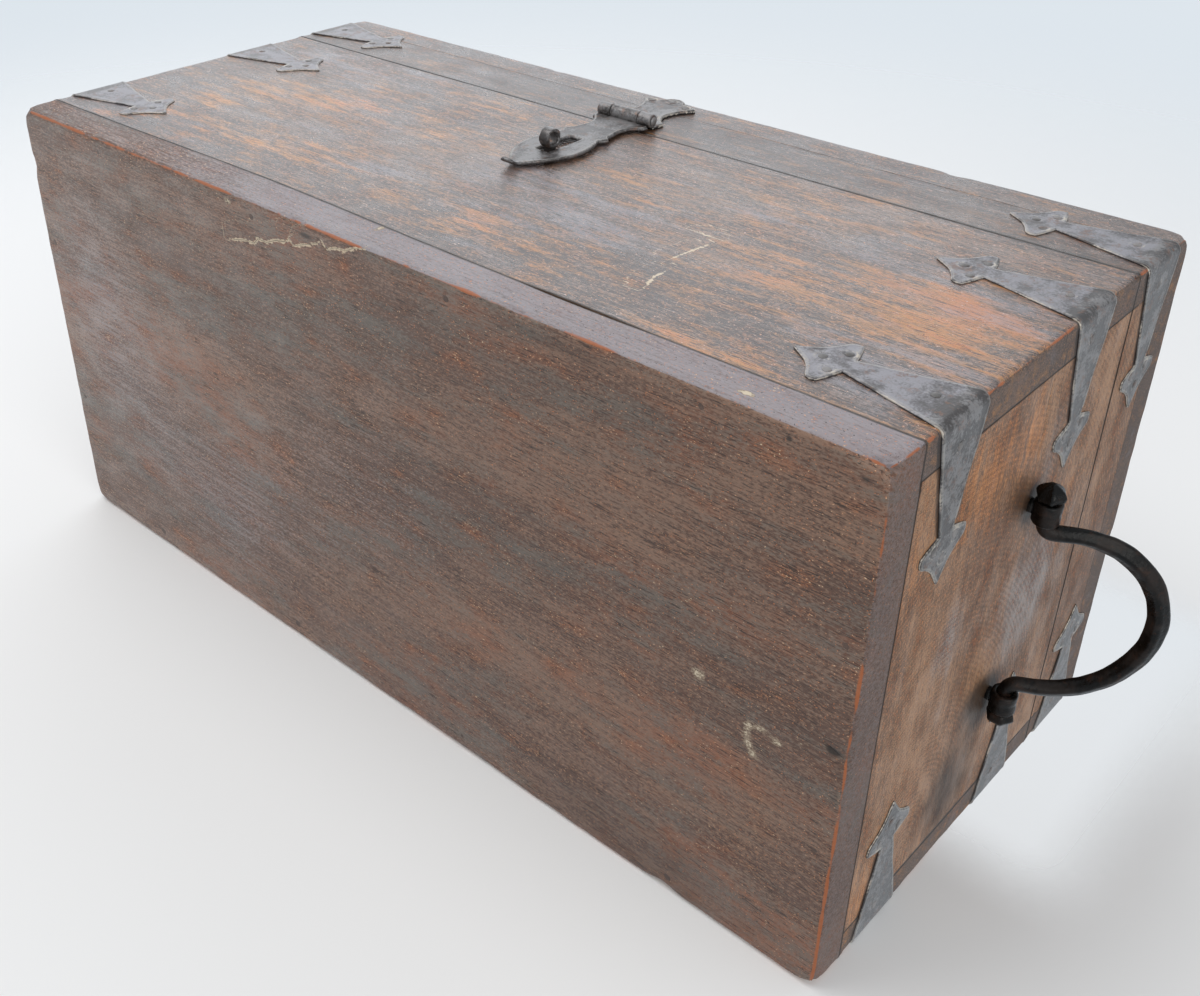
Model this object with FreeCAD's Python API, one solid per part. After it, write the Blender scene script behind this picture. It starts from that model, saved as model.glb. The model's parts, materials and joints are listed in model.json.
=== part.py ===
import FreeCAD, Part
import math
import os

# Iron-bound hardwood box chest with a hinged lid, a hasp and two bail handles.
# Millimetres. +X runs along the length to the right-hand end, -Y is the front with the
# hasp, +Z is up. The origin is the centre of the underside of the bottom board.

Vec = FreeCAD.Vector

# ---- timber ----
chest_length = 508.0
chest_depth = 243.0
body_height = 183.7  # floor to the top edge of the walls
lid_height = 51.7
seam_gap = 0.6  # open line between the walls and the lid
bottom_thick = 20.0
wall_thick = 15.0  # front and back panels
end_thick = 15.0  # end panels, held between front and back
lid_top_thick = 19.5
rail_thick = 15.0  # front and back rails of the lid
end_rail_thick = 15.0
corner_round = 3.0  # worn upright corners, and the bend of each strap
edge_round = 2.0  # worn outer edges of the bottom board and the lid top

# ---- corner straps ----
strap_thick = 1.6
strap_half = 15.8  # half width where the strap turns the corner
front_arm = 65.0  # corner to tip along the front or back
end_arm = 69.0  # corner to tip along an end
lower_strap_height = 44.5
upper_strap_drop = 38.4  # strap centre below the top edge of the walls
lid_strap_rise = 23.5  # strap centre above the lid's lower edge

# ---- spade heads, cut on the free end of every strap and leaf ----
head_length = 22.0
neck_half = 4.8
lobe_half = 15.6
lobe_back = 18.5  # lobe to tip
lobe_back_bow = 0.27  # a bow is how far an edge swells between its ends
lobe_edge_bow = 1.22
shoulder_half = 13.6
shoulder_back = 13.0
cheek_half = 5.6  # hollow side of the spade point
cheek_back = 7.5
cheek_bow = -0.48

# ---- nails ----
nail_radius = 1.0
nail_head_radius = 2.1
nail_head_height = 0.7
nail_top_radius = 1.2  # flat left on top of the head
nail_grip = 10.0  # shank length in the timber under a strap
nail_clearance = 0.05
corner_nail_out = 12.0  # nail beside each corner
corner_nail_stagger = 1.6  # up on the long side and down on the end, so that they miss
spade_nail_back = 11.5  # nail in the middle of a spade head, from its tip
lobe_nail_back = 17.6
lobe_nail_half = 7.2
joint_nail_radius = 1.4
joint_nail_head = 2.8
joint_nail_sink = 0.3  # heads are driven just below the timber
joint_nail_cone = 2.0  # depth of the tapered head
joint_nail_grip = 18.0  # shank length in the second board
joint_nail_count = 4  # along each long edge
joint_nail_inset = 71.0  # from the corner to the first nail of a long edge
end_nail_inset = 73.0  # from the corner to the nail of a short edge
carcass_nail_inset = 17.3  # from the edge of a strap to the nail of an upright joint

# ---- hasp ----
hasp_x = -5.0
hasp_pin_above = 6.0  # pin axis above the lid's lower edge
hasp_knuckle_stand = 1.0  # back of the knuckles to the timber
hasp_sheet = 1.8
hasp_knuckle_radius = 3.5
hasp_pin_radius = 1.6
hasp_barrel = 33.0
hasp_middle_knuckle = 17.0
hasp_leaf_gap = 1.2  # leaf behind face to the timber
hasp_leaf_top_half = 16.3
hasp_waist_half = 9.7
hasp_waist_bow = -1.64
hasp_neck_half = 11.6  # above and below the cusps
hasp_cusp_half = 14.4
hasp_belly_bow = 7.66
hasp_tip_half = 3.6
hasp_shoulder_drop = 6.85  # each drop is measured down from the pin axis
hasp_waist_drop = 18.0
hasp_neck_drop = 28.0
hasp_cusp_drop = 31.0
hasp_hollow_drop = 35.5
hasp_tip_drop = 81.0
lip_radius = 6.0
lip_angle = 55.0
plate_shoulder_half = 17.1
plate_shoulder_rise = 7.85  # each rise is measured up from the pin axis
plate_waist_half = 9.6
plate_waist_rise = 19.0
plate_waist_bow = -1.56
plate_lobe_half = 16.0
plate_lobe_rise = 34.0
plate_lobe_bow = 4.15
plate_side_bow = -1.35
plate_notch_half = 6.5
plate_notch_rise = 38.0
plate_tip_rise = 43.5
plate_tip_bow = 1.4
plate_root_nail_rise = 12.5
plate_root_nail_half = 7.0
plate_lobe_nail_half = 10.5
plate_top_nail_above = 3.5  # middle nail above the nails in the lobes

# ---- staple ----
staple_drop = 57.0  # ring centre below the pin axis
staple_bore = 3.1
staple_strip = 1.65
staple_width = 6.0
staple_stand = 4.25  # ring centre above the leaf
staple_tail = 10.0
slot_side_gap = 0.6
slot_end_gap = 0.6
slot_tail_room = 13.5  # slot left open above the ring

# ---- lid hinges ----
hinge_inset = 114.0  # end of the chest to the middle of a hinge
hinge_sheet = 1.8
hinge_knuckle_radius = 4.0
hinge_pin_radius = 2.0
hinge_width = 32.0
hinge_middle_knuckle = 13.0
hinge_drop = 66.0  # body leaf, axis to tip
hinge_rise = 46.0  # lid leaf, axis to tip
hinge_root_half = 15.0
hinge_root_nail_reach = 14.0
hinge_root_nail_half = 8.0

# ---- running fits ----
pin_clearance = 0.06
knuckle_gap = 0.3
swing_gap = 0.35
knuckle_root = 1.5  # flat sheet beyond the roll of a knuckle
pin_head_gap = 0.1
pin_head_grow = 0.8
pin_head_length = 1.1
pin_head_tip = 1.0
cut_through = 1.0  # how far a cutting shape runs past the face that it opens
touch = 0.01  # an edge this near a face lies on it

# ---- bail handles ----
handle_drop = 63.7  # pivot axis below the top edge of the walls
handle_stand = 0.5  # end panel to the knobs
handle_arm_half = 38.0
handle_straight = 11.0
bail_radius = 4.5
bail_inside_bend = 0.9
journal_radius = 3.3
eye_wall = 2.44
eye_length = 9.6
eye_side_gap = 0.4
eye_shank_radius = 3.0
eye_tail = 13.0
eye_tail_thick = 2.4
eye_tail_half = 3.0
knob_radius = 6.2
knob_length = 7.4
knob_widest = 3.33  # from the inner face of a knob to its widest point
knob_root_radius = 5.0
knob_tip_radius = 1.5
right_bail_tilt = 30.0  # stands out and up from square
left_bail_tilt = -90.0  # hangs against the end

half_length = chest_length / 2
half_depth = chest_depth / 2
lid_bottom = body_height + seam_gap
lid_top = lid_bottom + lid_height
rail_top = lid_top - lid_top_thick
hasp_pin_z = lid_bottom + hasp_pin_above
hasp_pin_y = -half_depth - hasp_knuckle_stand - hasp_knuckle_radius
hinge_pin_z = body_height + seam_gap / 2
hinge_pin_y = half_depth + hinge_knuckle_radius + swing_gap
upper_strap_height = body_height - upper_strap_drop
handle_height = body_height - handle_drop
bail_bend = journal_radius + bail_inside_bend
eye_radius = journal_radius + pin_clearance + eye_wall
handle_out = max(eye_radius, knob_radius) + handle_stand


def block(x0, x1, y0, y1, z0, z1):
    return Part.makeBox(x1 - x0, y1 - y0, z1 - z0, Vec(x0, y0, z0))


def rod(radius, start, end):
    way = end - start
    return Part.makeCylinder(radius, way.Length, start, way)


def fuse(shapes):
    return shapes[0].multiFuse(shapes[1:]).removeSplitter().Solids[0]


def prism(steps, place, push):
    """A sheet of metal: an outline in flat (along, across) steps, set out by place and
    thickened by push. A step is a point, or a point on an arc and the arc's end."""
    first = place(*steps[0][-1])
    here = first
    edges = []
    for step in steps[1:]:
        end = place(*step[-1])
        if len(step) == 2:
            edges.append(Part.Arc(here, place(*step[0]), end).toShape())
        else:
            edges.append(Part.makeLine(here, end))
        here = end
    if here.distanceToPoint(first) > touch:
        edges.append(Part.makeLine(here, first))
    return Part.Face(Part.Wire(edges)).extrude(push)


def half_outline(start, moves):
    """Steps from start, one for each move: the point it goes to and its edge's bow."""
    steps = [(start,)]
    here = start
    for end, bow in moves:
        along = end[0] - here[0]
        across = end[1] - here[1]
        share = bow / math.hypot(along, across)
        middle = (here[0] + along / 2 - share * across, here[1] + across / 2 + share * along)
        steps.append((middle, end) if bow else (end,))
        here = end
    return steps


def mirrored_outline(half):
    """Close a half outline, listed from its root to its tip, with its mirror image."""
    tip = half[-1][-1]
    other = [((tip[0], -tip[1]),)] if tip[1] else []
    for i in range(len(half) - 1, 0, -1):
        end = half[i - 1][-1]
        step = [(end[0], -end[1])]
        if len(half[i]) == 2:
            middle = half[i][0]
            step.insert(0, (middle[0], -middle[1]))
        other.append(tuple(step))
    return half + other


def spade_outline(root, root_half, tip):
    """Tapering strip from root to a spade head with two side lobes and a point."""
    moves = [
        ((tip - head_length, neck_half), 0),
        ((tip - lobe_back, lobe_half), lobe_back_bow),
        ((tip - shoulder_back, shoulder_half), lobe_edge_bow),
        ((tip - cheek_back, cheek_half), cheek_bow),
        ((tip, 0.0), 0),
    ]
    return mirrored_outline(half_outline((root, root_half), moves))


def spade_nails(tip):
    """Nail places in a spade head: one in the middle and one in each lobe."""
    back = tip - lobe_nail_back
    return [(tip - spade_nail_back, 0.0), (back, lobe_nail_half), (back, -lobe_nail_half)]


def nail(point, way, through):
    """A wrought nail: low domed head on the iron at point, shank driven along way."""
    head = Part.makeCone(nail_head_radius, nail_top_radius, nail_head_height, point, way * -1)
    shank = rod(nail_radius, point, point + way * (through + nail_grip))
    return head.fuse(shank).removeSplitter()


def nail_hole(point, way, through):
    deep = through + nail_grip + nail_clearance
    return rod(nail_radius + nail_clearance, point - way * cut_through, point + way * deep)


def joint_nail(point, way, first_board):
    """A nail through one board into the next, its head sunk into the first."""
    start = point + way * joint_nail_sink
    head = Part.makeCone(joint_nail_head, joint_nail_radius, joint_nail_cone, start, way)
    end = point + way * (first_board + joint_nail_grip)
    return head.fuse(rod(joint_nail_radius, start, end)).removeSplitter()


def joint_nail_hole(point, way, first_board):
    bore = joint_nail_radius + nail_clearance
    mouth = joint_nail_head + nail_clearance
    start = point + way * joint_nail_sink
    cone = Part.makeCone(mouth, bore, joint_nail_cone, start, way)
    well = rod(mouth, point - way * cut_through, start)
    deep = first_board + joint_nail_grip + nail_clearance
    return fuse([cone, well, rod(bore, start, point + way * deep)])


def worn(shape, radius, chosen):
    """Round the edges of a board for which chosen(edge centre, edge direction) is true."""
    edges = []
    for edge in shape.Edges:
        way = edge.Vertexes[-1].Point - edge.Vertexes[0].Point
        if chosen(edge.CenterOfMass, way.normalize()):
            edges.append(edge)
    return shape.makeFillet(radius, edges)


def upright_corner(centre, way):
    outer = abs(centre.x) > half_length - touch and abs(centre.y) > half_depth - touch
    return abs(way.z) > 0.99 and outer


# ---- corner straps, made at the front right corner and mirrored to the others ----

right_way = Vec(-1, 0, 0)
front_way = Vec(0, 1, 0)


def front_place(height):
    """(distance from the corner, height above centre) on the front face."""
    return lambda u, w: Vec(half_length - u, -half_depth, height + w)


def end_place(height):
    return lambda u, w: Vec(half_length, -half_depth + u, height + w)


def corner_strap(height):
    inner = Vec(half_length - corner_round, -half_depth + corner_round, height - strap_half)
    up = Vec(0, 0, 1)
    outer_bend = Part.makeCylinder(corner_round + strap_thick, 2 * strap_half, inner, up, 90)
    inner_bend = Part.makeCylinder(corner_round, 2 * strap_half, inner, up, 360)
    outer_bend.rotate(inner, up, -90)
    bend = outer_bend.cut(inner_bend)
    front = prism(
        spade_outline(corner_round, strap_half, front_arm),
        front_place(height),
        front_way * -strap_thick,
    )
    end = prism(
        spade_outline(corner_round, strap_half, end_arm),
        end_place(height),
        right_way * -strap_thick,
    )
    return fuse([bend, front, end])


def strap_nail_places(height):
    """(point on the strap's outer face, driving direction) of each nail of a strap."""
    places = []
    for place, tip, way, shift in (
        (front_place(height), front_arm, front_way, corner_nail_stagger),
        (end_place(height), end_arm, right_way, -corner_nail_stagger),
    ):
        for u, w in [(corner_nail_out, shift)] + spade_nails(tip):
            places.append((place(u, w) - way * strap_thick, way))
    return places


def mirror_point(point, side_x, side_y):
    return Vec(point.x * side_x, point.y * side_y, point.z)


def mirror_shape(shape, side_x, side_y):
    if side_x < 0:
        shape = shape.mirror(Vec(0, 0, 0), Vec(1, 0, 0))
    if side_y < 0:
        shape = shape.mirror(Vec(0, 0, 0), Vec(0, 1, 0))
    return shape


corners = [
    ("front_right", 1, 1),
    ("front_left", -1, 1),
    ("back_right", 1, -1),
    ("back_left", -1, -1),
]


def straps_at(height, prefix, suffix):
    """Straps, nails and holes of the four corners at one height."""
    nodes = {}
    nails = []
    holes = []
    blank = corner_strap(height)
    for corner, side_x, side_y in corners:
        own_holes = []
        for point, way in strap_nail_places(height):
            at = mirror_point(point, side_x, side_y)
            drive = mirror_point(way, side_x, side_y)
            nails.append(nail(at, drive, strap_thick))
            own_holes.append(nail_hole(at, drive, strap_thick))
        strap = mirror_shape(blank, side_x, side_y)
        nodes[prefix + corner + suffix] = strap.cut(Part.makeCompound(own_holes))
        holes += own_holes
    return nodes, nails, holes


# ---- rolled hinges: a sheet and its knuckles on one pin ----


def knuckle_spans(width, middle, centre_x):
    """The x spans of the left, middle and right knuckles of a barrel."""
    edge = width / 2
    inner = middle / 2
    return [
        (centre_x - edge, centre_x - inner - knuckle_gap),
        (centre_x - inner, centre_x + inner),
        (centre_x + inner + knuckle_gap, centre_x + edge),
    ]


def rolled_leaf(sheet, own, others, axis_y, axis_z, radius, pin_radius, foot):
    """Roll knuckles on a flat sheet. own and others are x spans: the sheet is carried to
    the axis in its own spans and cut back from the others. foot is the sheet's y span."""
    parts = [sheet]
    for x0, x1 in own:
        parts.append(rod(radius, Vec(x0, axis_y, axis_z), Vec(x1, axis_y, axis_z)))
        away = radius + knuckle_root
        low = axis_z - away if sheet.CenterOfMass.z < axis_z else axis_z
        parts.append(block(x0, x1, foot[0], foot[1], low, low + away))
    leaf = fuse(parts)
    room = radius + swing_gap
    for x0, x1 in others:
        grow = knuckle_gap
        box = block(x0 - grow, x1 + grow, axis_y - room, axis_y + room, axis_z - room, axis_z + room)
        leaf = leaf.cut(box)
    ends = [x for span in own + others for x in span]
    bore = rod(
        pin_radius + pin_clearance,
        Vec(min(ends) - cut_through, axis_y, axis_z),
        Vec(max(ends) + cut_through, axis_y, axis_z),
    )
    return leaf.cut(bore)


def headed_pin(centre_x, width, axis_y, axis_z, pin_radius):
    """A pin with both ends peened over the outer knuckles."""
    parts = []
    ends = []
    for side in (-1, 1):
        end = Vec(centre_x + side * (width / 2 + pin_head_gap), axis_y, axis_z)
        way = Vec(side, 0, 0)
        grown = pin_radius + pin_head_grow
        parts.append(Part.makeCone(grown, pin_head_tip, pin_head_length, end, way))
        ends.append(end)
    return fuse([rod(pin_radius, ends[0], ends[1])] + parts)


# ---- hasp ----

hasp_spans = knuckle_spans(hasp_barrel, hasp_middle_knuckle, hasp_x)
leaf_back = -half_depth - hasp_leaf_gap
leaf_front = leaf_back - hasp_sheet
staple_z = hasp_pin_z - staple_drop
staple_y = leaf_front - staple_stand
staple_outer = staple_bore + staple_strip


def leaf_outline():
    moves = [
        ((hasp_shoulder_drop, hasp_leaf_top_half), 0),
        ((hasp_waist_drop, hasp_waist_half), hasp_waist_bow),
        ((hasp_neck_drop, hasp_neck_half), 0),
        ((hasp_cusp_drop, hasp_cusp_half), 0),
        ((hasp_hollow_drop, hasp_neck_half), 0),
        ((hasp_tip_drop, hasp_tip_half), hasp_belly_bow),
    ]
    top = hasp_knuckle_radius + swing_gap
    return mirrored_outline(half_outline((top, hasp_leaf_top_half), moves))


def hasp_leaf():
    def place(drop, across):
        return Vec(hasp_x + across, leaf_back, hasp_pin_z - drop)

    sheet = prism(leaf_outline(), place, Vec(0, -hasp_sheet, 0))
    # finger lip: the end of the sheet is bent outwards round a cylinder
    lip_z = hasp_pin_z - hasp_tip_drop
    bend = Vec(hasp_x - hasp_tip_half, leaf_front - lip_radius, lip_z)
    across = Vec(1, 0, 0)
    width = 2 * hasp_tip_half
    lip = Part.makeCylinder(lip_radius + hasp_sheet, width, bend, across, lip_angle)
    lip = lip.cut(Part.makeCylinder(lip_radius, width, bend, across, 360)).Solids[0]
    # the sector is turned so that it starts square to the sheet and runs down and out
    start = lip.CenterOfMass - bend
    now = math.degrees(math.atan2(start.z, start.y))
    lip.rotate(bend, across, -lip_angle / 2 - now)
    leaf = rolled_leaf(
        fuse([sheet, lip]),
        [hasp_spans[1]],
        [hasp_spans[0], hasp_spans[2]],
        hasp_pin_y,
        hasp_pin_z,
        hasp_knuckle_radius,
        hasp_pin_radius,
        (leaf_front, leaf_back),
    )
    slot_half = staple_width / 2 + slot_side_gap
    slot = block(
        hasp_x - slot_half,
        hasp_x + slot_half,
        leaf_front - cut_through,
        leaf_back + cut_through,
        staple_z - staple_outer - slot_end_gap,
        staple_z + staple_outer + slot_tail_room,
    )
    return leaf.cut(slot)


def hasp_plate():
    foot = hasp_knuckle_radius + swing_gap

    def place(rise, across):
        return Vec(hasp_x + across, -half_depth, hasp_pin_z + rise)

    moves = [
        ((plate_shoulder_rise, plate_shoulder_half), 0),
        ((plate_waist_rise, plate_waist_half), plate_waist_bow),
        ((plate_lobe_rise, plate_lobe_half), plate_side_bow),
        ((plate_notch_rise, plate_notch_half), plate_lobe_bow),
        ((plate_tip_rise, 0.0), plate_tip_bow),
    ]
    outline = mirrored_outline(half_outline((foot, hasp_leaf_top_half), moves))
    sheet = prism(outline, place, Vec(0, -hasp_sheet, 0))
    return rolled_leaf(
        sheet,
        [hasp_spans[0], hasp_spans[2]],
        [hasp_spans[1]],
        hasp_pin_y,
        hasp_pin_z,
        hasp_knuckle_radius,
        hasp_pin_radius,
        (-half_depth - hasp_sheet, -half_depth),
    )


def plate_nail_places():
    spots = [(plate_lobe_rise + plate_top_nail_above, 0.0)]
    for side in (1, -1):
        spots.append((plate_lobe_rise, side * plate_lobe_nail_half))
        spots.append((plate_root_nail_rise, side * plate_root_nail_half))
    face = -half_depth - hasp_sheet
    return [(Vec(hasp_x + across, face, hasp_pin_z + rise), front_way) for rise, across in spots]


def staple_shank(grow):
    """The doubled strip behind the ring, where it passes the front panel."""
    half_width = staple_width / 2 + grow
    half_thick = staple_strip + grow
    inside = -half_depth + wall_thick
    x0 = hasp_x - half_width
    x1 = hasp_x + half_width
    return block(x0, x1, staple_y, inside, staple_z - half_thick, staple_z + half_thick)


def hasp_staple():
    """A strip curled into a ring, driven through the front and clinched inside."""
    left = Vec(hasp_x - staple_width / 2, staple_y, staple_z)
    right = left + Vec(staple_width, 0, 0)
    inside = -half_depth + wall_thick
    tails = block(
        hasp_x - staple_width / 2,
        hasp_x + staple_width / 2,
        inside,
        inside + staple_strip,
        staple_z - staple_tail,
        staple_z + staple_tail,
    )
    solid = fuse([rod(staple_outer, left, right), staple_shank(0.0), tails])
    across = Vec(1, 0, 0)
    return solid.cut(rod(staple_bore, left - across, right + across))


# ---- lid hinges on the back ----


def back_leaf(centre_x, up):
    """One leaf of a lid hinge. up is 1 for the lid's leaf and -1 for the body's."""
    spans = knuckle_spans(hinge_width, hinge_middle_knuckle, centre_x)
    reach = hinge_rise if up > 0 else hinge_drop
    start = hinge_knuckle_radius + swing_gap

    def place(rise, across):
        return Vec(centre_x + across, half_depth, hinge_pin_z + up * rise)

    outline = spade_outline(start, hinge_root_half, reach)
    sheet = prism(outline, place, Vec(0, hinge_sheet, 0))
    own = [spans[1]] if up > 0 else [spans[0], spans[2]]
    others = [spans[0], spans[2]] if up > 0 else [spans[1]]
    return rolled_leaf(
        sheet,
        own,
        others,
        hinge_pin_y,
        hinge_pin_z,
        hinge_knuckle_radius,
        hinge_pin_radius,
        (half_depth, half_depth + hinge_sheet),
    )


def back_leaf_nail_places(centre_x, up):
    reach = hinge_rise if up > 0 else hinge_drop
    # the head on the lid is nailed in its middle only
    spots = spade_nails(reach) if up < 0 else spade_nails(reach)[:1]
    for side in (1, -1):
        spots.append((hinge_root_nail_reach, side * hinge_root_nail_half))
    face = half_depth + hinge_sheet
    places = []
    for rise, across in spots:
        at = Vec(centre_x + across, face, hinge_pin_z + up * rise)
        places.append((at, Vec(0, -1, 0)))
    return places


# ---- bail handles, made at the right-hand end lying square out from it ----

pivot = Vec(half_length + handle_out, 0, handle_height)
eye_inner = handle_arm_half + bail_bend + eye_side_gap
eye_outer = eye_inner + eye_length


def bail(tilt):
    """Half ring of forged bar with straight arms, cranked out into journals and knobs."""
    swing = Vec(0, 0, 1)
    ring_centre = pivot + Vec(handle_straight, 0, 0)
    ring = Part.makeTorus(handle_arm_half, bail_radius, ring_centre, swing, -180, 180, 180)
    ring.rotate(ring_centre, swing, -90)
    pieces = [ring]
    for side in (1, -1):
        y = side * handle_arm_half
        out = Vec(1, 0, 0)
        root = pivot + Vec(bail_bend, y, 0)
        length = handle_straight - bail_bend
        pieces.append(Part.makeCone(journal_radius, bail_radius, length, root, out))
        elbow = Part.makeTorus(bail_bend, journal_radius, Vec(0, 0, 0), swing, -180, 180, 90)
        # the quarter torus is turned to join the arm to the journal
        elbow.rotate(Vec(0, 0, 0), swing, 180 if side > 0 else 90)
        elbow.translate(pivot + Vec(bail_bend, y + side * bail_bend, 0))
        pieces.append(elbow)
        inner = pivot + Vec(0, y + side * bail_bend, 0)
        outer = pivot + Vec(0, side * (eye_outer + eye_side_gap), 0)
        pieces.append(rod(journal_radius, inner, outer))
        way = Vec(0, side, 0)
        widest = outer + way * knob_widest
        point = knob_length - knob_widest
        pieces.append(Part.makeCone(knob_root_radius, knob_radius, knob_widest, outer, way))
        pieces.append(Part.makeCone(knob_radius, knob_tip_radius, point, widest, way))
    shape = fuse(pieces)
    shape.rotate(pivot, Vec(0, 1, 0), -tilt)
    return shape


def handle_eye(side):
    """Eye with a shank through the end panel, its tail clinched down on the inside."""
    start = pivot + Vec(0, side * eye_inner, 0)
    end = pivot + Vec(0, side * eye_outer, 0)
    middle = (start + end) * 0.5
    inside = Vec(half_length - end_thick, middle.y, middle.z)
    barrel = rod(eye_radius, start, end)
    shank = rod(eye_shank_radius, inside, Vec(middle.x, middle.y, middle.z))
    tail = block(
        inside.x - eye_tail_thick,
        inside.x,
        inside.y - eye_tail_half,
        inside.y + eye_tail_half,
        inside.z - eye_tail,
        inside.z + eye_shank_radius,
    )
    way = Vec(0, side, 0)
    bore = rod(journal_radius + pin_clearance, start - way, end + way)
    return fuse([barrel, shank, tail]).cut(bore)


def eye_hole(side_x, side):
    y = side * (eye_inner + eye_length / 2)
    inner = Vec(side_x * (half_length - end_thick - cut_through), y, handle_height)
    outer = Vec(side_x * (half_length + cut_through), y, handle_height)
    return rod(eye_shank_radius + nail_clearance, inner, outer)


# ---- joint nails between boards ----


def joint_nail_rows():
    """(node, point, way, first board) of every nail that holds the boards together."""
    rows = []
    up = Vec(0, 0, 1)
    long_y = half_depth - wall_thick / 2
    end_x = half_length - end_thick / 2
    first = half_length - joint_nail_inset
    pitch = 2 * first / (joint_nail_count - 1)
    spots = []
    for side in (1, -1):
        spots += [(i * pitch - first, side * long_y) for i in range(joint_nail_count)]
        spots += [(side * end_x, y) for y in (end_nail_inset - half_depth, half_depth - end_nail_inset)]
    for x, y in spots:
        rows.append(("bottom_board_nails", Vec(x, y, 0), up, bottom_thick))
        rows.append(("lid_top_nails", Vec(x, y, lid_top), up * -1, lid_top_thick))
    lowest = lower_strap_height + strap_half + carcass_nail_inset
    highest = upper_strap_height - strap_half - carcass_nail_inset
    for side_x in (1, -1):
        for side in (1, -1):
            for z in (lowest, highest):
                at = Vec(side_x * end_x, side * half_depth, z)
                rows.append(("carcass_nails", at, Vec(0, -side, 0), wall_thick))
    return rows


# ---- assembly ----

nodes = {}
groups = {}
body_holes = []
lid_holes = []

for height, label in ((lower_strap_height, "_lower"), (upper_strap_height, "_upper")):
    made, nails, holes = straps_at(height, "strap_", label)
    nodes.update(made)
    groups.setdefault("body_strap_nails", []).extend(nails)
    body_holes += holes
made, nails, holes = straps_at(lid_bottom + lid_strap_rise, "lid_strap_", "")
nodes.update(made)
groups["lid_strap_nails"] = nails
lid_holes += holes

for name, point, way, first_board in joint_nail_rows():
    groups.setdefault(name, []).append(joint_nail(point, way, first_board))
    target = lid_holes if name.startswith("lid") else body_holes
    target.append(joint_nail_hole(point, way, first_board))

plate = hasp_plate()
plate_holes = []
for point, way in plate_nail_places():
    groups.setdefault("hasp_plate_nails", []).append(nail(point, way, hasp_sheet))
    plate_holes.append(nail_hole(point, way, hasp_sheet))
lid_holes += plate_holes
nodes["hasp_plate"] = plate.cut(Part.makeCompound(plate_holes))
nodes["hasp_leaf"] = hasp_leaf()
nodes["hasp_pin"] = headed_pin(hasp_x, hasp_barrel, hasp_pin_y, hasp_pin_z, hasp_pin_radius)
nodes["hasp_staple"] = hasp_staple()
body_holes.append(staple_shank(nail_clearance))

for side_x, label in ((-1, "left"), (1, "right")):
    centre_x = side_x * (half_length - hinge_inset)
    for up, owner, target in ((-1, "body", body_holes), (1, "lid", lid_holes)):
        own_holes = []
        for point, way in back_leaf_nail_places(centre_x, up):
            group = groups.setdefault("hinge_" + owner + "_nails", [])
            group.append(nail(point, way, hinge_sheet))
            own_holes.append(nail_hole(point, way, hinge_sheet))
        leaf = back_leaf(centre_x, up).cut(Part.makeCompound(own_holes))
        nodes[label + "_hinge_" + owner + "_leaf"] = leaf
        target += own_holes
    pin = headed_pin(centre_x, hinge_width, hinge_pin_y, hinge_pin_z, hinge_pin_radius)
    nodes[label + "_hinge_pin"] = pin
    tilt = right_bail_tilt if side_x > 0 else left_bail_tilt
    nodes[label + "_handle_bail"] = mirror_shape(bail(tilt), side_x, 1)
    for side, where in ((-1, "front"), (1, "back")):
        nodes[label + "_handle_eye_" + where] = mirror_shape(handle_eye(side), side_x, 1)
        body_holes.append(eye_hole(side_x, side))

# boards: the long panels run full length and hold the ends between them
inner_y = half_depth - wall_thick
rail_y = half_depth - rail_thick
boards = {
    "bottom_board": (-half_length, half_length, -half_depth, half_depth, 0, bottom_thick),
    "front_panel": (-half_length, half_length, -half_depth, -inner_y, bottom_thick, body_height),
    "back_panel": (-half_length, half_length, inner_y, half_depth, bottom_thick, body_height),
    "left_end_panel": (
        -half_length, -half_length + end_thick, -inner_y, inner_y, bottom_thick, body_height,
    ),
    "right_end_panel": (
        half_length - end_thick, half_length, -inner_y, inner_y, bottom_thick, body_height,
    ),
    "lid_top_board": (-half_length, half_length, -half_depth, half_depth, rail_top, lid_top),
    "lid_front_rail": (-half_length, half_length, -half_depth, -rail_y, lid_bottom, rail_top),
    "lid_back_rail": (-half_length, half_length, rail_y, half_depth, lid_bottom, rail_top),
    "lid_left_rail": (
        -half_length, -half_length + end_rail_thick, -rail_y, rail_y, lid_bottom, rail_top,
    ),
    "lid_right_rail": (
        half_length - end_rail_thick, half_length, -rail_y, rail_y, lid_bottom, rail_top,
    ),
}
for name, spans in boards.items():
    board = block(*spans)
    if "end" not in name and "left" not in name and "right" not in name:
        board = worn(board, corner_round, upright_corner)
    if name == "bottom_board":
        board = worn(board, edge_round, lambda centre, way: abs(centre.z) < touch)
    if name == "lid_top_board":
        board = worn(board, edge_round, lambda centre, way: abs(centre.z - lid_top) < touch)
    holes = lid_holes if name.startswith("lid") else body_holes
    near = [hole for hole in holes if hole.BoundBox.intersect(board.BoundBox)]
    nodes[name] = board.cut(Part.makeCompound(near))

for name, nails in groups.items():
    nodes[name] = Part.makeCompound(nails)

os.makedirs("parts", exist_ok=True)
for name, shape in sorted(nodes.items()):
    shape.exportStep("parts/" + name + ".step")
    print(name, len(shape.Solids), "solids", round(shape.Volume), "mm3", shape.isValid())
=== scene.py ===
import json
import math

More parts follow.
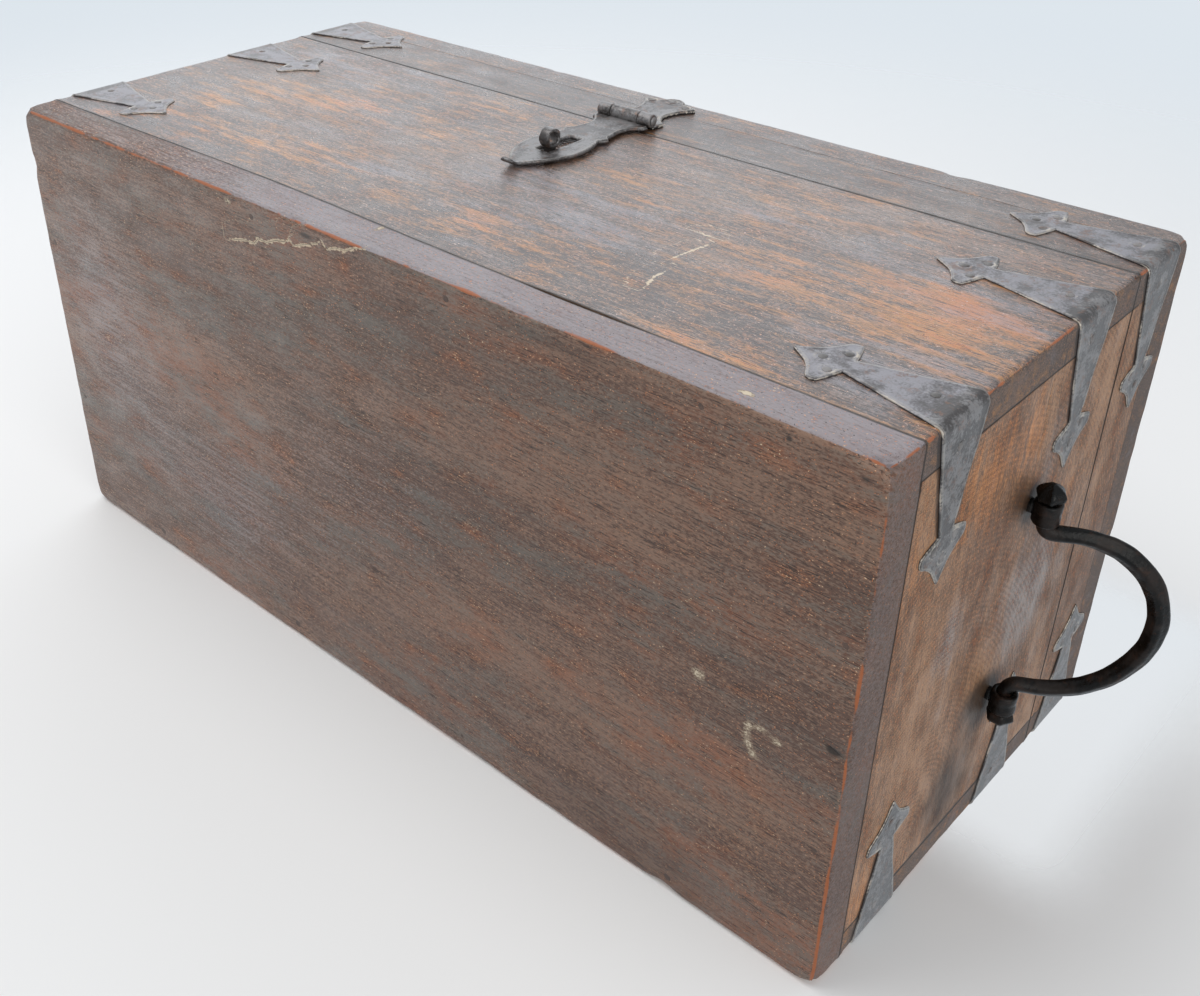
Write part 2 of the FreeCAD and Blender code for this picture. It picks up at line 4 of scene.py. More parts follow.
import bpy
import numpy as np
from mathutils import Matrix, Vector

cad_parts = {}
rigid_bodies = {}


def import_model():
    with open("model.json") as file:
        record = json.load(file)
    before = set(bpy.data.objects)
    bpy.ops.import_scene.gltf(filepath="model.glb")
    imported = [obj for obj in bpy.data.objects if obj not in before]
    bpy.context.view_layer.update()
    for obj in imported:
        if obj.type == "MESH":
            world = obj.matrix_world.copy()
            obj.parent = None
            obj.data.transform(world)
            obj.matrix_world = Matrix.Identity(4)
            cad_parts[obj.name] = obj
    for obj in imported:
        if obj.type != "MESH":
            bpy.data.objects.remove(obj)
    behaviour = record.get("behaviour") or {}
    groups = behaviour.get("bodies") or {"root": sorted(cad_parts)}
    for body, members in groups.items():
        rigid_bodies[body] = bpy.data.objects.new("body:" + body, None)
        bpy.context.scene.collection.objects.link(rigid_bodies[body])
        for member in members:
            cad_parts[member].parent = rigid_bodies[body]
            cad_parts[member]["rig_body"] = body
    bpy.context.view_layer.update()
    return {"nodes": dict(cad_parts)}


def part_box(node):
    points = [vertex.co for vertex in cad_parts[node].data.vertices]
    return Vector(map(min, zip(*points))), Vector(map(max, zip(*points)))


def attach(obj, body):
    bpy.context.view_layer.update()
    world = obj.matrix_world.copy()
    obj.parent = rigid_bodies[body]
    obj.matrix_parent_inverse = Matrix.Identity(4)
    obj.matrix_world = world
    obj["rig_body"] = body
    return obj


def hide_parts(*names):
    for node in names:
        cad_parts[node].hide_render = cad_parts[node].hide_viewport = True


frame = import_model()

# Old hardwood box chest bound with wrought iron. Sizes in the dictionaries are in mm.
mm = 0.001
nodes = frame["nodes"]
halfLong, halfDeep, chestTall = 254.0, 121.5, 236.0
chestLow = np.array([-halfLong, -halfDeep, 0.0]) * mm
chestHigh = np.array([halfLong, halfDeep, chestTall]) * mm
# height of the middle of each row of corner straps, by the names of their nodes
strapLevels = {"strap_{}_lower": 44.5, "strap_{}_upper": 145.3, "lid_strap_{}": 207.8}
print("frame loaded:", len(nodes), "nodes")


view = {
    "place": (405.1, -341.5, -323.1),
    "turn": (148.7, -43.18, 0.55),  # degrees
    "lens": 40.66,
    "shift": (0.068, -0.0644),
}
cameraData = bpy.data.cameras.new("camera")
cameraData.lens = view["lens"]
cameraData.sensor_width = 36
cameraData.clip_start = 0.01
cameraData.shift_x, cameraData.shift_y = view["shift"]
camera = bpy.data.objects.new("camera", cameraData)
camera.location = [value * mm for value in view["place"]]
camera.rotation_euler = [math.radians(value) for value in view["turn"]]
bpy.context.scene.collection.objects.link(camera)
bpy.context.scene.camera = camera
bpy.context.scene.view_settings.view_transform = "Standard"


def colour(text):
    # an sRGB hex colour as linear light
    parts = [int(text[i : i + 2], 16) / 255 for i in (1, 3, 5)]
    return [c / 12.92 if c <= 0.04045 else ((c + 0.055) / 1.055) ** 2.4 for c in parts] + [1.0]


def addNode(tree, kind, feeds=None, **settings):
    # one shader node: settings are its properties, feeds its sockets' values or sources
    node = tree.nodes.new("ShaderNode" + kind)
    for key, value in settings.items():
        setattr(node, key, value)
    for key, value in (feeds or {}).items():
        if isinstance(value, bpy.types.Node):
            value = value.outputs[0]
        if isinstance(value, bpy.types.NodeSocket):
            tree.links.new(value, node.inputs[key])
        else:
            node.inputs[key].default_value = value
    return node


stage = {
    "backdrop": "#dee6ed",
    "table": "#ebecec",
    "daylight": 0.62,  # strength of the even light from all round
    "daylightTint": "#f2f5fa",
    "fadeNear": 0.55,  # metres from the chest where the table starts to blend away
    "fadeFar": 1.5,
    "half": 3.0,  # metres from the middle of each table to its edges
    "slit": (0.0, 0.33, 0.22, 0.14),  # middle x, half width, middle z, half height
    "slitSoft": 0.05,
    "far": 0.4,  # metres from the back table to the sheet seen through its slit
    "rest": -0.0003,  # height of the floor
    "behind": 0.0002,  # metres from the chest's back to the back table
    "aim": (0.0, 0.0, 0.1),  # where the lamps point
}

world = bpy.data.worlds.new("paleRoom")
bpy.context.scene.world = world
world.use_nodes = True
air = world.node_tree
air.nodes.clear()
rays = addNode(air, "LightPath")
seen = rays.outputs["Is Camera Ray"]
for kind in ("Is Glossy Ray", "Is Transmission Ray"):
    seen = addNode(air, "Math", {0: seen, 1: rays.outputs[kind]}, operation="MAXIMUM")
soft = addNode(air, "Background", {"Color": colour(stage["daylightTint"]), "Strength": stage["daylight"]})
pale = addNode(air, "Background", {"Color": colour(stage["backdrop"]), "Strength": 1.0})
both = addNode(air, "MixShader", {0: seen, 1: soft, 2: pale})
addNode(air, "OutputWorld", {"Surface": both})


def tableFinish(name, through):
    # Matt painted table: blends into the backdrop far out, and can't be seen from its far side.
    # An upright one only shows above the chest's foot to a camera under the floor, whose rays
    # pass as many clear sheets first as through says.
    material = bpy.data.materials.new(name)
    material.use_nodes = True
    tree = material.node_tree
    tree.nodes.clear()
    place = addNode(tree, "TexCoord").outputs["Object"]
    reach = addNode(tree, "VectorMath", {0: place}, operation="LENGTH").outputs["Value"]
    fade = addNode(
        tree, "MapRange", {"Value": reach, "From Min": stage["fadeNear"], "From Max": stage["fadeFar"]},
        interpolation_type="SMOOTHSTEP",
    )
    under = addNode(tree, "NewGeometry").outputs["Backfacing"]
    gone = addNode(tree, "Math", {0: fade, 1: under}, operation="MAXIMUM")
    if through:
        parts = addNode(tree, "SeparateXYZ", {0: place})
        above = addNode(tree, "Math", {0: parts.outputs["Z"], 1: stage["rest"]}, operation="GREATER_THAN")
        depth = addNode(tree, "LightPath").outputs["Transparent Depth"]
        plain = addNode(tree, "Math", {0: depth, 1: through - 0.5}, operation="LESS_THAN")
        upper = addNode(tree, "Math", {0: above, 1: plain}, operation="MULTIPLY")
        gone = addNode(tree, "Math", {0: gone, 1: upper}, operation="MAXIMUM")
    if through == 1:
        # a soft-edged slit beside the chest leaves room for the open lid to show
        x, wide, z, tall = stage["slit"]
        for axis, middle, half in (("X", x, wide), ("Z", z, tall)):
            away = addNode(tree, "Math", {0: parts.outputs[axis], 1: middle}, operation="SUBTRACT")
            away = addNode(tree, "Math", {0: away}, operation="ABSOLUTE")
            feeds = {"Value": away, "From Min": half - stage["slitSoft"], "From Max": half}
            feeds.update({"To Min": 1.0, "To Max": 0.0})
            share = addNode(tree, "MapRange", feeds, interpolation_type="SMOOTHSTEP")
            slit = share if axis == "X" else addNode(tree, "Math", {0: slit, 1: share}, operation="MULTIPLY")
        gone = addNode(tree, "Math", {0: gone, 1: slit}, operation="MAXIMUM")
    paint = addNode(tree, "BsdfDiffuse", {"Color": colour(stage["table"])})
    clear = addNode(tree, "BsdfTransparent")
    mixed = addNode(tree, "MixShader", {0: gone, 1: paint, 2: clear})
    addNode(tree, "OutputMaterial", {"Surface": mixed})
    return material


def tableSheet(name, corners, through):
    # a flat stage sheet that the camera sees and the light passes by
    mesh = bpy.data.meshes.new(name)
    mesh.from_pydata(corners, [], [(0, 1, 2, 3)])
    sheet = bpy.data.objects.new(name, mesh)
    mesh.materials.append(tableFinish(name, through))
    bpy.context.scene.collection.objects.link(sheet)
    for ray in ("visible_diffuse", "visible_glossy", "visible_transmission", "visible_shadow"):
        setattr(sheet, ray, False)


h = stage["half"]
z = stage["rest"]
tableSheet("floor", [(-h, -h, z), (h, -h, z), (h, h, z), (-h, h, z)], 0)
backTable = chestHigh[1] + stage["behind"]  # the chest also lies on its back on this one
farTable = backTable + stage["far"]
for name, y, low, through in (("backTable", backTable, -h, 1), ("farTable", farTable, 0.0, 2)):
    tableSheet(name, [(-h, y, low), (h, y, low), (h, y, h), (-h, y, h)], through)

lamps = {
    "window": {"place": (-0.75, -1.6, -0.25), "size": 1.6, "watts": 16, "tint": "#fffdfb"},
    "skylight": {"place": (-1.25, -0.75, 1.5), "size": 2.2, "watts": 12, "tint": "#fbfcff"},
    "bounce": {"place": (-1.05, 0.3, -0.5), "size": 0.8, "watts": 2.5, "tint": "#fffefc"},
    "side": {"place": (1.4, -0.6, -0.5), "size": 1.2, "watts": 9, "tint": "#fffdf8"},
}
for name, lamp in lamps.items():
    data = bpy.data.lights.new(name, "AREA")
    data.shape = "DISK"
    data.size = lamp["size"]
    data.energy = lamp["watts"]
    data.color = colour(lamp["tint"])[:3]
    light = bpy.data.objects.new(name, data)
    aim = np.array(stage["aim"]) - np.array(lamp["place"])
    light.location = lamp["place"]
    light.rotation_euler = Vector(aim).to_track_quat("-Z", "Y").to_euler()
    bpy.context.scene.collection.objects.link(light)
print("camera, stage and lamps")


def latticeNoise(points, cell, seed):
    # random values from -1 to 1 at the corners of a grid of cells (mm), each hashed from its
    # own whole numbers, blended between the corners by the smooth step 3t^2 - 2t^3 per axis
    scaled = points / (np.broadcast_to(cell, 3) * mm) + seed * 17.31
    base = np.floor(scaled).astype(np.int64)
    part = scaled - base
    part = part * part * (3 - 2 * part)
    total = np.zeros(len(points))
    for corner in np.ndindex(2, 2, 2):
        key = (base + np.array(corner)) * np.array([73856093, 19349663, 83492791])
        mixed = key[:, 0] ^ key[:, 1] ^ key[:, 2] ^ (seed * 7919 + 13)
        mixed = ((mixed ^ (mixed >> 13)) * 1274126177) & 0xFFFFFFFF
        mixed = (mixed ^ (mixed >> 15)) & 0xFFFF
        total += np.prod(np.where(corner, part, 1 - part), axis=1) * (mixed / 32767.5 - 1)
    return total


def smoothStep(low, high, value):
    # 0 up to low, 1 from high, and 3t^2 - 2t^3 between
    t = np.clip((value - low) / (high - low), 0, 1)
    return t * t * (3 - 2 * t)


def gridLines(low, high, fine, coarse, band, special=()):
    # line positions whose spacing grows from fine, at both ends and at special places, to
    # coarse: they stand where the running sum of 1 / spacing passes equal shares
    t = np.linspace(low, high, 3000)
    away = np.min([np.abs(t - place) for place in (low, high, *special)], axis=0)
    spacing = fine + (coarse - fine) * np.clip((away - band) / (3 * band), 0, 1)
    total = np.concatenate([[0], np.cumsum((1 / spacing[1:] + 1 / spacing[:-1]) / 2 * np.diff(t))])
    return np.interp(np.linspace(0, total[-1], int(np.ceil(total[-1])) + 1), total, t)


def boxShell(lines):
    # the six faces of a box as quads between the lines along x, y and z, corners merged
    counts = [len(line) for line in lines]
    lowRing = ((0, 0), (0, 1), (1, 1), (1, 0))
    highRing = lowRing[:1] + lowRing[:0:-1]
    quads = []
    for axis in range(3):
        u, v = (axis + 1) % 3, (axis + 2) % 3
        i, j = np.meshgrid(np.arange(counts[u] - 1), np.arange(counts[v] - 1), indexing="ij")
        for end, ring in ((0, lowRing), (counts[axis] - 1, highRing)):
            keys = []
            for du, dv in ring:
                place = [None] * 3
                place[axis] = np.full(i.size, end)
                place[u] = i.ravel() + du
                place[v] = j.ravel() + dv
                keys.append(np.ravel_multi_index(place, counts))
            quads.append(np.stack(keys, 1))
    keys, quads = np.unique(np.concatenate(quads), return_inverse=True)
    index = np.unravel_index(keys, counts)
    return np.stack([lines[axis][index[axis]] for axis in range(3)], 1), quads.reshape(-1, 4)


def roundedOffsets(points, low, high, radius):
    # the corner square beside each edge becomes a quarter round: a point's offset from the
    # inner box is scaled by its largest part over its length. Also gives the outward way.
    r = np.minimum(radius, 0.49 * (high - low).min())[:, None]
    inner = np.clip(points, low + r, high - r)
    off = points - inner
    length = np.maximum(np.linalg.norm(off, axis=1), 1e-9)
    way = off / length[:, None]
    return inner + way * np.abs(off).max(axis=1)[:, None], way


def ringShell(rings, loop=False):
    # rows of closed rings joined by quads. A loop joins the last ring to the first;
    # otherwise each end is closed by a fan of triangles on its middle.
    rows, around = rings.shape[:2]
    points = rings.reshape(-1, 3)
    count = rows if loop else rows - 1
    i, j = np.meshgrid(np.arange(count), np.arange(around), indexing="ij")
    i, j = i.ravel(), j.ravel()
    up, right = (i + 1) % rows, (j + 1) % around
    faces = [np.stack([i * around + j, i * around + right, up * around + right, up * around + j], 1)]
    if not loop:
        poles = np.stack([rings[0].mean(0), rings[-1].mean(0)])
        points = np.concatenate([points, poles])
        ring = np.arange(around)
        after = (ring + 1) % around
        last = (rows - 1) * around
        first = np.stack([after, ring, np.full(around, rows * around)], 1)
        other = np.stack([last + ring, last + after, np.full(around, rows * around + 1)], 1)
        faces.append(np.concatenate([first, other]))
    return outward(points, faces)


def outward(points, faces):
    # a shell whose volume comes out negative has its faces turned round
    volume = 0.0
    for face in faces:
        a = points[face[:, 0]]
        for k in range(1, face.shape[1] - 1):
            volume += np.einsum("ij,ij->i", a, np.cross(points[face[:, k]], points[face[:, k + 1]])).sum()
    return points, [face[:, ::-1] for face in faces] if volume < 0 else faces


def sheetShell(front, back, keep=None):
    # front and back are grids of points; kept squares get a front and a back quad, and a
    # wall stands wherever a kept square borders the edge or a square left out
    rows, columns = front.shape[:2]
    keep = np.ones((rows - 1, columns - 1), bool) if keep is None else keep
    index = np.arange(rows * columns).reshape(rows, columns)
    under = index + rows * columns
    i, j = np.nonzero(keep)
    corners = ((i, j), (i + 1, j), (i + 1, j + 1), (i, j + 1))
    quads = [np.stack([index[c] for c in corners], 1), np.stack([under[c] for c in corners[::-1]], 1)]
    padded = np.pad(keep, 1)
    for k, (di, dj) in enumerate(((0, -1), (1, 0), (0, 1), (-1, 0))):
        bare = ~padded[i + 1 + di, j + 1 + dj]
        a = (corners[k][0][bare], corners[k][1][bare])
        b = (corners[(k + 1) % 4][0][bare], corners[(k + 1) % 4][1][bare])
        quads.append(np.stack([index[b], index[a], under[a], under[b]], 1))
    quads = np.concatenate(quads)
    points = np.concatenate([front.reshape(-1, 3), back.reshape(-1, 3)])
    used, quads = np.unique(quads, return_inverse=True)
    return outward(points[used], [quads.reshape(-1, 4)]), used


def joinShells(shells):
    # several closed shells as one list of points and faces
    points, faces, base = [], [], 0
    for own, sets in shells:
        faces += [face + base for face in sets]
        points.append(own)
        base += len(own)
    return np.concatenate(points), faces


finishes = {}


def addPiece(name, shell, node, finish, marks=None):
    # a smooth mesh object that stands for a CAD node, with a value per point for each mark
    points, faces = shell
    mesh = bpy.data.meshes.new(name)
    mesh.from_pydata(points.tolist(), [], [corners for face in faces for corners in face.tolist()])
    for key, values in (marks or {}).items():
        mesh.attributes.new(key, "FLOAT", "POINT").data.foreach_set("value", np.asarray(values, np.float32))
    mesh.shade_smooth()
    mesh.materials.append(finishes[finish])
    piece = bpy.data.objects.new(name, mesh)
    bpy.context.scene.collection.objects.link(piece)
    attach(piece, nodes[node]["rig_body"])
    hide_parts(node)


reliefStrength = 0.6  # of the bump, whose depth is the look's own
glossSpan = (0.35, 0.65)  # values of a noise between which the gloss changes
mattWood = 0.75  # roughness of raw wood and end grain


def layeredFinish(name, look):
    # A base colour under a pile of layers. Each layer lays its colour on where a weighted sum of
    # noise patterns and of the piece's own marks and lines passes a soft threshold. A pattern's
    # size is the length of its blotches along and across the grain, in mm. The gloss follows one
    # pattern, and is never higher than the dull marks allow.
    material = bpy.data.materials.new(name)
    material.use_nodes = True
    tree = material.node_tree
    tree.nodes.clear()
    place = addNode(tree, "TexCoord").outputs["Object"]
    grain = addNode(tree, "Mapping", {"Vector": place, "Rotation": (0.0, 0.0, math.radians(look["turn"]))})
    sources = {}
    for seed, (key, (along, across, detail, rough)) in enumerate(look["patterns"].items(), 1):
        away = (seed * 0.37, seed * 0.11, seed * 0.23)  # so that no two patterns line up
        shift = addNode(tree, "VectorMath", {0: grain, 1: away}, operation="ADD")
        size = (1000 / along, 1000 / across, 1000 / across)
        spread = addNode(tree, "VectorMath", {0: shift, 1: size}, operation="MULTIPLY")
        feeds = {"Vector": spread, "Scale": 1.0, "Detail": detail, "Roughness": rough}
        sources[key] = addNode(tree, "TexNoise", feeds)
    if "rings" in look:
        # growth rings as circles about a line along x, drawn out along y by the stretch; at
        # scale 1 they stand a tenth of pi apart
        y, z, stretch, spacing, waver = look["rings"]
        hub = {"Vector": place, "Location": (0, -y * stretch * mm, -z * mm), "Scale": (1, stretch, 1)}
        feeds = {
            "Vector": addNode(tree, "Mapping", hub), "Scale": 0.1 * math.pi / (spacing * mm),
            "Distortion": waver, "Detail": 3.0, "Detail Scale": 18.0, "Detail Roughness": 0.5,
        }
        wave = addNode(tree, "TexWave", feeds, wave_type="RINGS", rings_direction="X")
        sources["rings"] = wave.outputs["Fac"]
    for key in look["marks"]:
        sources[key] = addNode(tree, "Attribute", attribute_name=key).outputs["Fac"]
    for key in look.get("lines", ()):
        # a line's mark is the signed distance from it in mm, taken here as 1 - distance
        away = addNode(tree, "Attribute", attribute_name=key).outputs["Fac"]
        away = addNode(tree, "Math", {0: away}, operation="ABSOLUTE")
        sources[key] = addNode(tree, "Math", {0: 1.0, 1: away}, operation="SUBTRACT")
    paint = colour(look["base"])
    for tone, weights, low, high, most in look["layers"]:
        total = 0.0
        for key, weight in weights.items():
            total = addNode(tree, "Math", {0: sources[key], 1: weight, 2: total}, operation="MULTIPLY_ADD")
        feeds = {"Value": total, "From Min": low, "From Max": high, "To Max": most}
        factor = addNode(tree, "MapRange", feeds, interpolation_type="SMOOTHSTEP")
        paint = addNode(tree, "MixRGB", {0: factor, 1: paint, 2: colour(tone)})
    height = 0.0
    for key, weight in look["relief"].items():
        height = addNode(tree, "Math", {0: sources[key], 1: weight, 2: height}, operation="MULTIPLY_ADD")
    feeds = {"Height": height, "Strength": reliefStrength, "Distance": look["reliefDepth"] * mm}
    bump = addNode(tree, "Bump", feeds)
    key, smooth, rough = look["gloss"]
    feeds = {"Value": sources[key], "From Min": glossSpan[0], "From Max": glossSpan[1]}
    gloss = addNode(tree, "MapRange", {**feeds, "To Min": smooth, "To Max": rough})
    for key in look.get("dull", ()):
        matt = addNode(tree, "Math", {0: sources[key], 1: mattWood}, operation="MULTIPLY")
        gloss = addNode(tree, "Math", {0: gloss, 1: matt}, operation="MAXIMUM")
    feeds = {"Base Color": paint, "Roughness": gloss, "Normal": bump, "Metallic": look["metal"]}
    surface = addNode(tree, "BsdfPrincipled", {**feeds, **look["sockets"]})
    addNode(tree, "OutputMaterial", {"Surface": surface})
    finishes[name] = material


# Indian hardwood, planed by hand, oiled and waxed for a century: short dark pores, tan where
# the finish is rubbed through, and grey-lilac patches of painted sheen on the wax
woodPatterns = {
    "broad": (240, 60, 3.0, 0.55),
    "streak": (24, 1.2, 4.0, 0.62),
    "pores": (7, 0.5, 3.0, 0.58),
    "fleck": (2.0, 0.8, 3.0, 0.65),
    "flame": (30, 4.5, 5.0, 0.62),
    "wax": (44, 9, 5.0, 0.62),
    "mottle": (26, 14, 6.0, 0.68),
    "bloom": (80, 42, 5.0, 0.6),
    "spot": (0.85, 0.65, 1.0, 0.5),
}
woodMarks = ("worn", "tan", "grime", "dust", "haze", "bare", "grain")
woodLines = ("split", "scratch", "seat")
woodLook = {
    "turn": 0, "patterns": woodPatterns, "marks": woodMarks, "lines": woodLines, "metal": 0.0,
    "relief": {"streak": 0.4, "pores": -0.7, "mottle": 0.6, "fleck": 0.25}, "reliefDepth": 0.4,
}
wornLayers = (
    ("#5c4535", {"bare": 1.0}, 0.3, 0.7, 1.0),
    ("#7d6350", {"bare": 1.0, "streak": 0.6, "fleck": 0.4}, 1.47, 1.62, 0.85),
    ("#4a3a30", {"grain": 0.7, "fleck": 0.5}, 0.8, 1.05, 0.6),
    ("#a0592f", {"worn": 0.8, "mottle": 0.5, "fleck": 0.4}, 0.76, 1.1, 0.85),
    ("#8d7b67", {"dust": 0.6, "fleck": 0.6, "spot": 0.5}, 0.86, 1.0, 0.9),
    ("#cdbfa6", {"dust": 0.6, "fleck": 0.6, "spot": 0.5}, 1.03, 1.15, 0.9),
    # dark dirt in the joints and stains, and in some patches a painted shadow
    ("#1f1915", {"grime": 0.8, "mottle": 0.3, "fleck": 0.3}, 0.52, 1.05, 0.85),
    ("#cbb89b", {"scratch": 0.32, "fleck": 1.1, "mottle": 0.9}, 1.04, 1.2, 0.9),
    ("#120d0b", {"split": 1.0, "mottle": 0.8, "fleck": 0.2}, 1.34, 1.46, 0.95),
    # painted shadow along the lower edges of the straps' arms on the ends
    ("#1a1411", {"seat": 0.9, "fleck": 0.5}, 0.35, 0.95, 0.8),
)
# the underside: dull, with a film of dirt and patches of painted sheen, never waxed
layeredFinish("dullWood", {
    **woodLook, "base": "#5a4236", "gloss": ("mottle", 0.42, 0.6),
    "dull": ("bare", "grain"), "sockets": {"Specular IOR Level": 0.4},
    "layers": (
        ("#876b59", {"streak": 0.3, "fleck": 0.5, "broad": 0.3}, 0.49, 0.61, 0.9),
        ("#94583a", {"broad": 0.3, "bloom": 0.4, "mottle": 0.4}, 0.53, 0.68, 0.5),
        ("#a96a41", {"mottle": 0.5, "fleck": 0.3, "spot": 0.2}, 0.55, 0.64, 0.7),
        ("#65635c", {"wax": 0.4, "bloom": 0.3, "fleck": 0.3}, 0.48, 0.6, 0.66),
        ("#2b201a", {"pores": 0.8, "mottle": 0.25}, 0.565, 0.66, 0.85),
        ("#b9814f", {"tan": 0.5, "fleck": 0.5}, 0.4, 0.8, 0.7),
        # painted sheen: a lilac-grey layer over the marked patches
        ("#908b90", {"haze": 0.55, "streak": 0.5, "fleck": 0.5}, 0.62, 1.05, 0.85),
        ("#c47a4c", {"spot": 1.0}, 0.675, 0.72, 0.75),
        ("#d3c0a0", {"spot": 0.6, "fleck": 0.3, "mottle": 0.3}, 0.75, 0.79, 0.8),
        ("#17110e", {"spot": 1.0}, 0.3, 0.26, 0.85),
        *wornLayers,
    ),
})
# front, lid and back: the waxed faces
layeredFinish("waxedWood", {
    **woodLook, "base": "#43352f", "gloss": ("mottle", 0.25, 0.38),
    "dull": ("bare", "grain"), "sockets": {"Specular IOR Level": 0.74},
    "layers": (
        ("#7f695c", {"streak": 0.35, "fleck": 0.4, "broad": 0.3}, 0.48, 0.61, 0.95),
        ("#bb8348", {"tan": 0.16, "flame": 0.5, "mottle": 0.25, "fleck": 0.25}, 0.5, 0.68, 0.92),
        ("#b86a3a", {"tan": 0.14, "flame": 0.4, "bloom": 0.3, "fleck": 0.3}, 0.56, 0.7, 0.7),
        # painted sheen: a lilac-grey layer in the wax pattern and over the marked patches
        ("#817f86", {"wax": 0.5, "haze": 0.16, "bloom": 0.2, "fleck": 0.25}, 0.49, 0.64, 0.66),
        ("#8f5436", {"mottle": 0.3, "fleck": 0.4, "spot": 0.4}, 0.59, 0.68, 0.65),
        ("#1c1411", {"pores": 0.8, "streak": 0.25}, 0.55, 0.65, 0.92),
        ("#d9925c", {"spot": 1.0}, 0.69, 0.74, 0.7),
        ("#c9c1bd", {"spot": 0.7, "fleck": 0.5}, 0.76, 0.82, 0.6),
        ("#1c1412", {"spot": 1.0}, 0.32, 0.27, 0.85),
        *wornLayers,
    ),
})
# the ends: dry, warmer, with a figure of growth rings
layeredFinish("endWood", {
    **woodLook, "turn": 90, "base": "#6b4e3a", "rings": (95, 60, 0.8, 2.0, 9.0),
    "gloss": ("mottle", 0.42, 0.6), "sockets": {"Specular IOR Level": 0.3},
    "layers": (
        ("#a9805d", {"streak": 0.25, "fleck": 0.45, "broad": 0.4}, 0.47, 0.61, 0.9),
        ("#d08b50", {"tan": 0.22, "flame": 0.4, "mottle": 0.25, "fleck": 0.25}, 0.5, 0.67, 0.85),
        # painted sheen: a lilac-grey layer in the wax pattern and over the marked patches
        ("#9d9693", {"wax": 0.45, "bloom": 0.2, "haze": 0.3, "fleck": 0.25}, 0.47, 0.7, 0.78),
        ("#3a271c", {"rings": 0.24, "mottle": 0.8, "fleck": 0.4}, 0.66, 0.86, 0.75),
        ("#96542e", {"mottle": 0.3, "fleck": 0.4, "spot": 0.4}, 0.57, 0.67, 0.55),
        ("#38281d", {"pores": 0.9, "mottle": 0.15}, 0.58, 0.68, 0.6),
        ("#d99358", {"spot": 1.0}, 0.68, 0.72, 0.6),
        *wornLayers,
    ),
})
# wrought iron, hammered flat, oil-blacked, then rubbed and lightly rusted
ironPatterns = {"blotch": (9, 9, 5.0, 0.6), "grit": (1.1, 1.1, 3.0, 0.6), "rust": (5, 5, 4.0, 0.7)}
ironLook = {
    "turn": 0, "patterns": ironPatterns, "metal": 0.0, "sockets": {},
    "relief": {"blotch": 1.0, "grit": 0.35},
}
layeredFinish("strapIron", {
    **ironLook, "marks": ("rim", "dirt", "armSheen", "wall"), "base": "#454140", "metal": 0.45,
    "reliefDepth": 0.35, "gloss": ("blotch", 0.32, 0.48),
    "layers": (
        ("#807e7e", {"blotch": 0.7, "grit": 0.35}, 0.46, 0.62, 1.0),
        # painted sheen: a pale grey layer on the long sides' arms
        ("#8f8d93", {"armSheen": 0.5, "blotch": 0.7, "grit": 0.3}, 0.84, 1.1, 0.75),
        ("#6b4a37", {"rust": 0.7, "grit": 0.35}, 0.55, 0.68, 0.7),
        ("#aaa59c", {"rim": 0.6, "blotch": 0.4, "grit": 0.3}, 0.7, 1.0, 0.4),
        ("#b7ad9f", {"dirt": 0.6, "grit": 0.5, "blotch": 0.4}, 0.81, 1.0, 0.8),
        # painted shade: near black on the cut walls and the back of the sheet
        ("#14100f", {"wall": 1.0, "grit": 0.2}, 0.25, 0.6, 0.95),
    ),
})
# the bails and eyes: forge scale under grease, nearly black
layeredFinish("forgedIron", {
    **ironLook, "marks": ("rim", "dirt"), "base": "#070605",
    "reliefDepth": 0.8, "gloss": ("blotch", 0.22, 0.45), "sockets": {"Specular IOR Level": 0.18},
    "layers": (
        ("#211b18", {"blotch": 1.0}, 0.44, 0.62, 1.0),
        ("#3a261c", {"rust": 1.0}, 0.54, 0.7, 0.5),
        ("#3d3632", {"rim": 0.6, "blotch": 0.5}, 0.5, 0.9, 0.4),
    ),
})
# wrought nails, a little rusted, with pale dirt on their heads
layeredFinish("nailIron", {
    **ironLook, "marks": ("rim", "dirt"), "base": "#575452", "metal": 0.2,
    "reliefDepth": 0.3, "gloss": ("blotch", 0.42, 0.6),
    "layers": (
        ("#858281", {"blotch": 1.0}, 0.38, 0.62, 1.0),
        ("#5d4030", {"rust": 1.0}, 0.5, 0.7, 0.6),
        ("#b9ab90", {"dirt": 0.7, "grit": 0.6}, 0.6, 0.84, 0.8),
    ),
})
# nails driven below the wood, their holes stopped with dirt and wax
layeredFinish("stoppedNail", {
    **ironLook, "marks": (), "base": "#46362d", "reliefDepth": 0.4, "gloss": ("blotch", 0.5, 0.7),
    "layers": (
        ("#5c473c", {"blotch": 0.6, "grit": 0.4}, 0.45, 0.6, 1.0),
        ("#2a201b", {"rust": 1.0}, 0.55, 0.7, 0.7),
    ),
})
print("finishes")


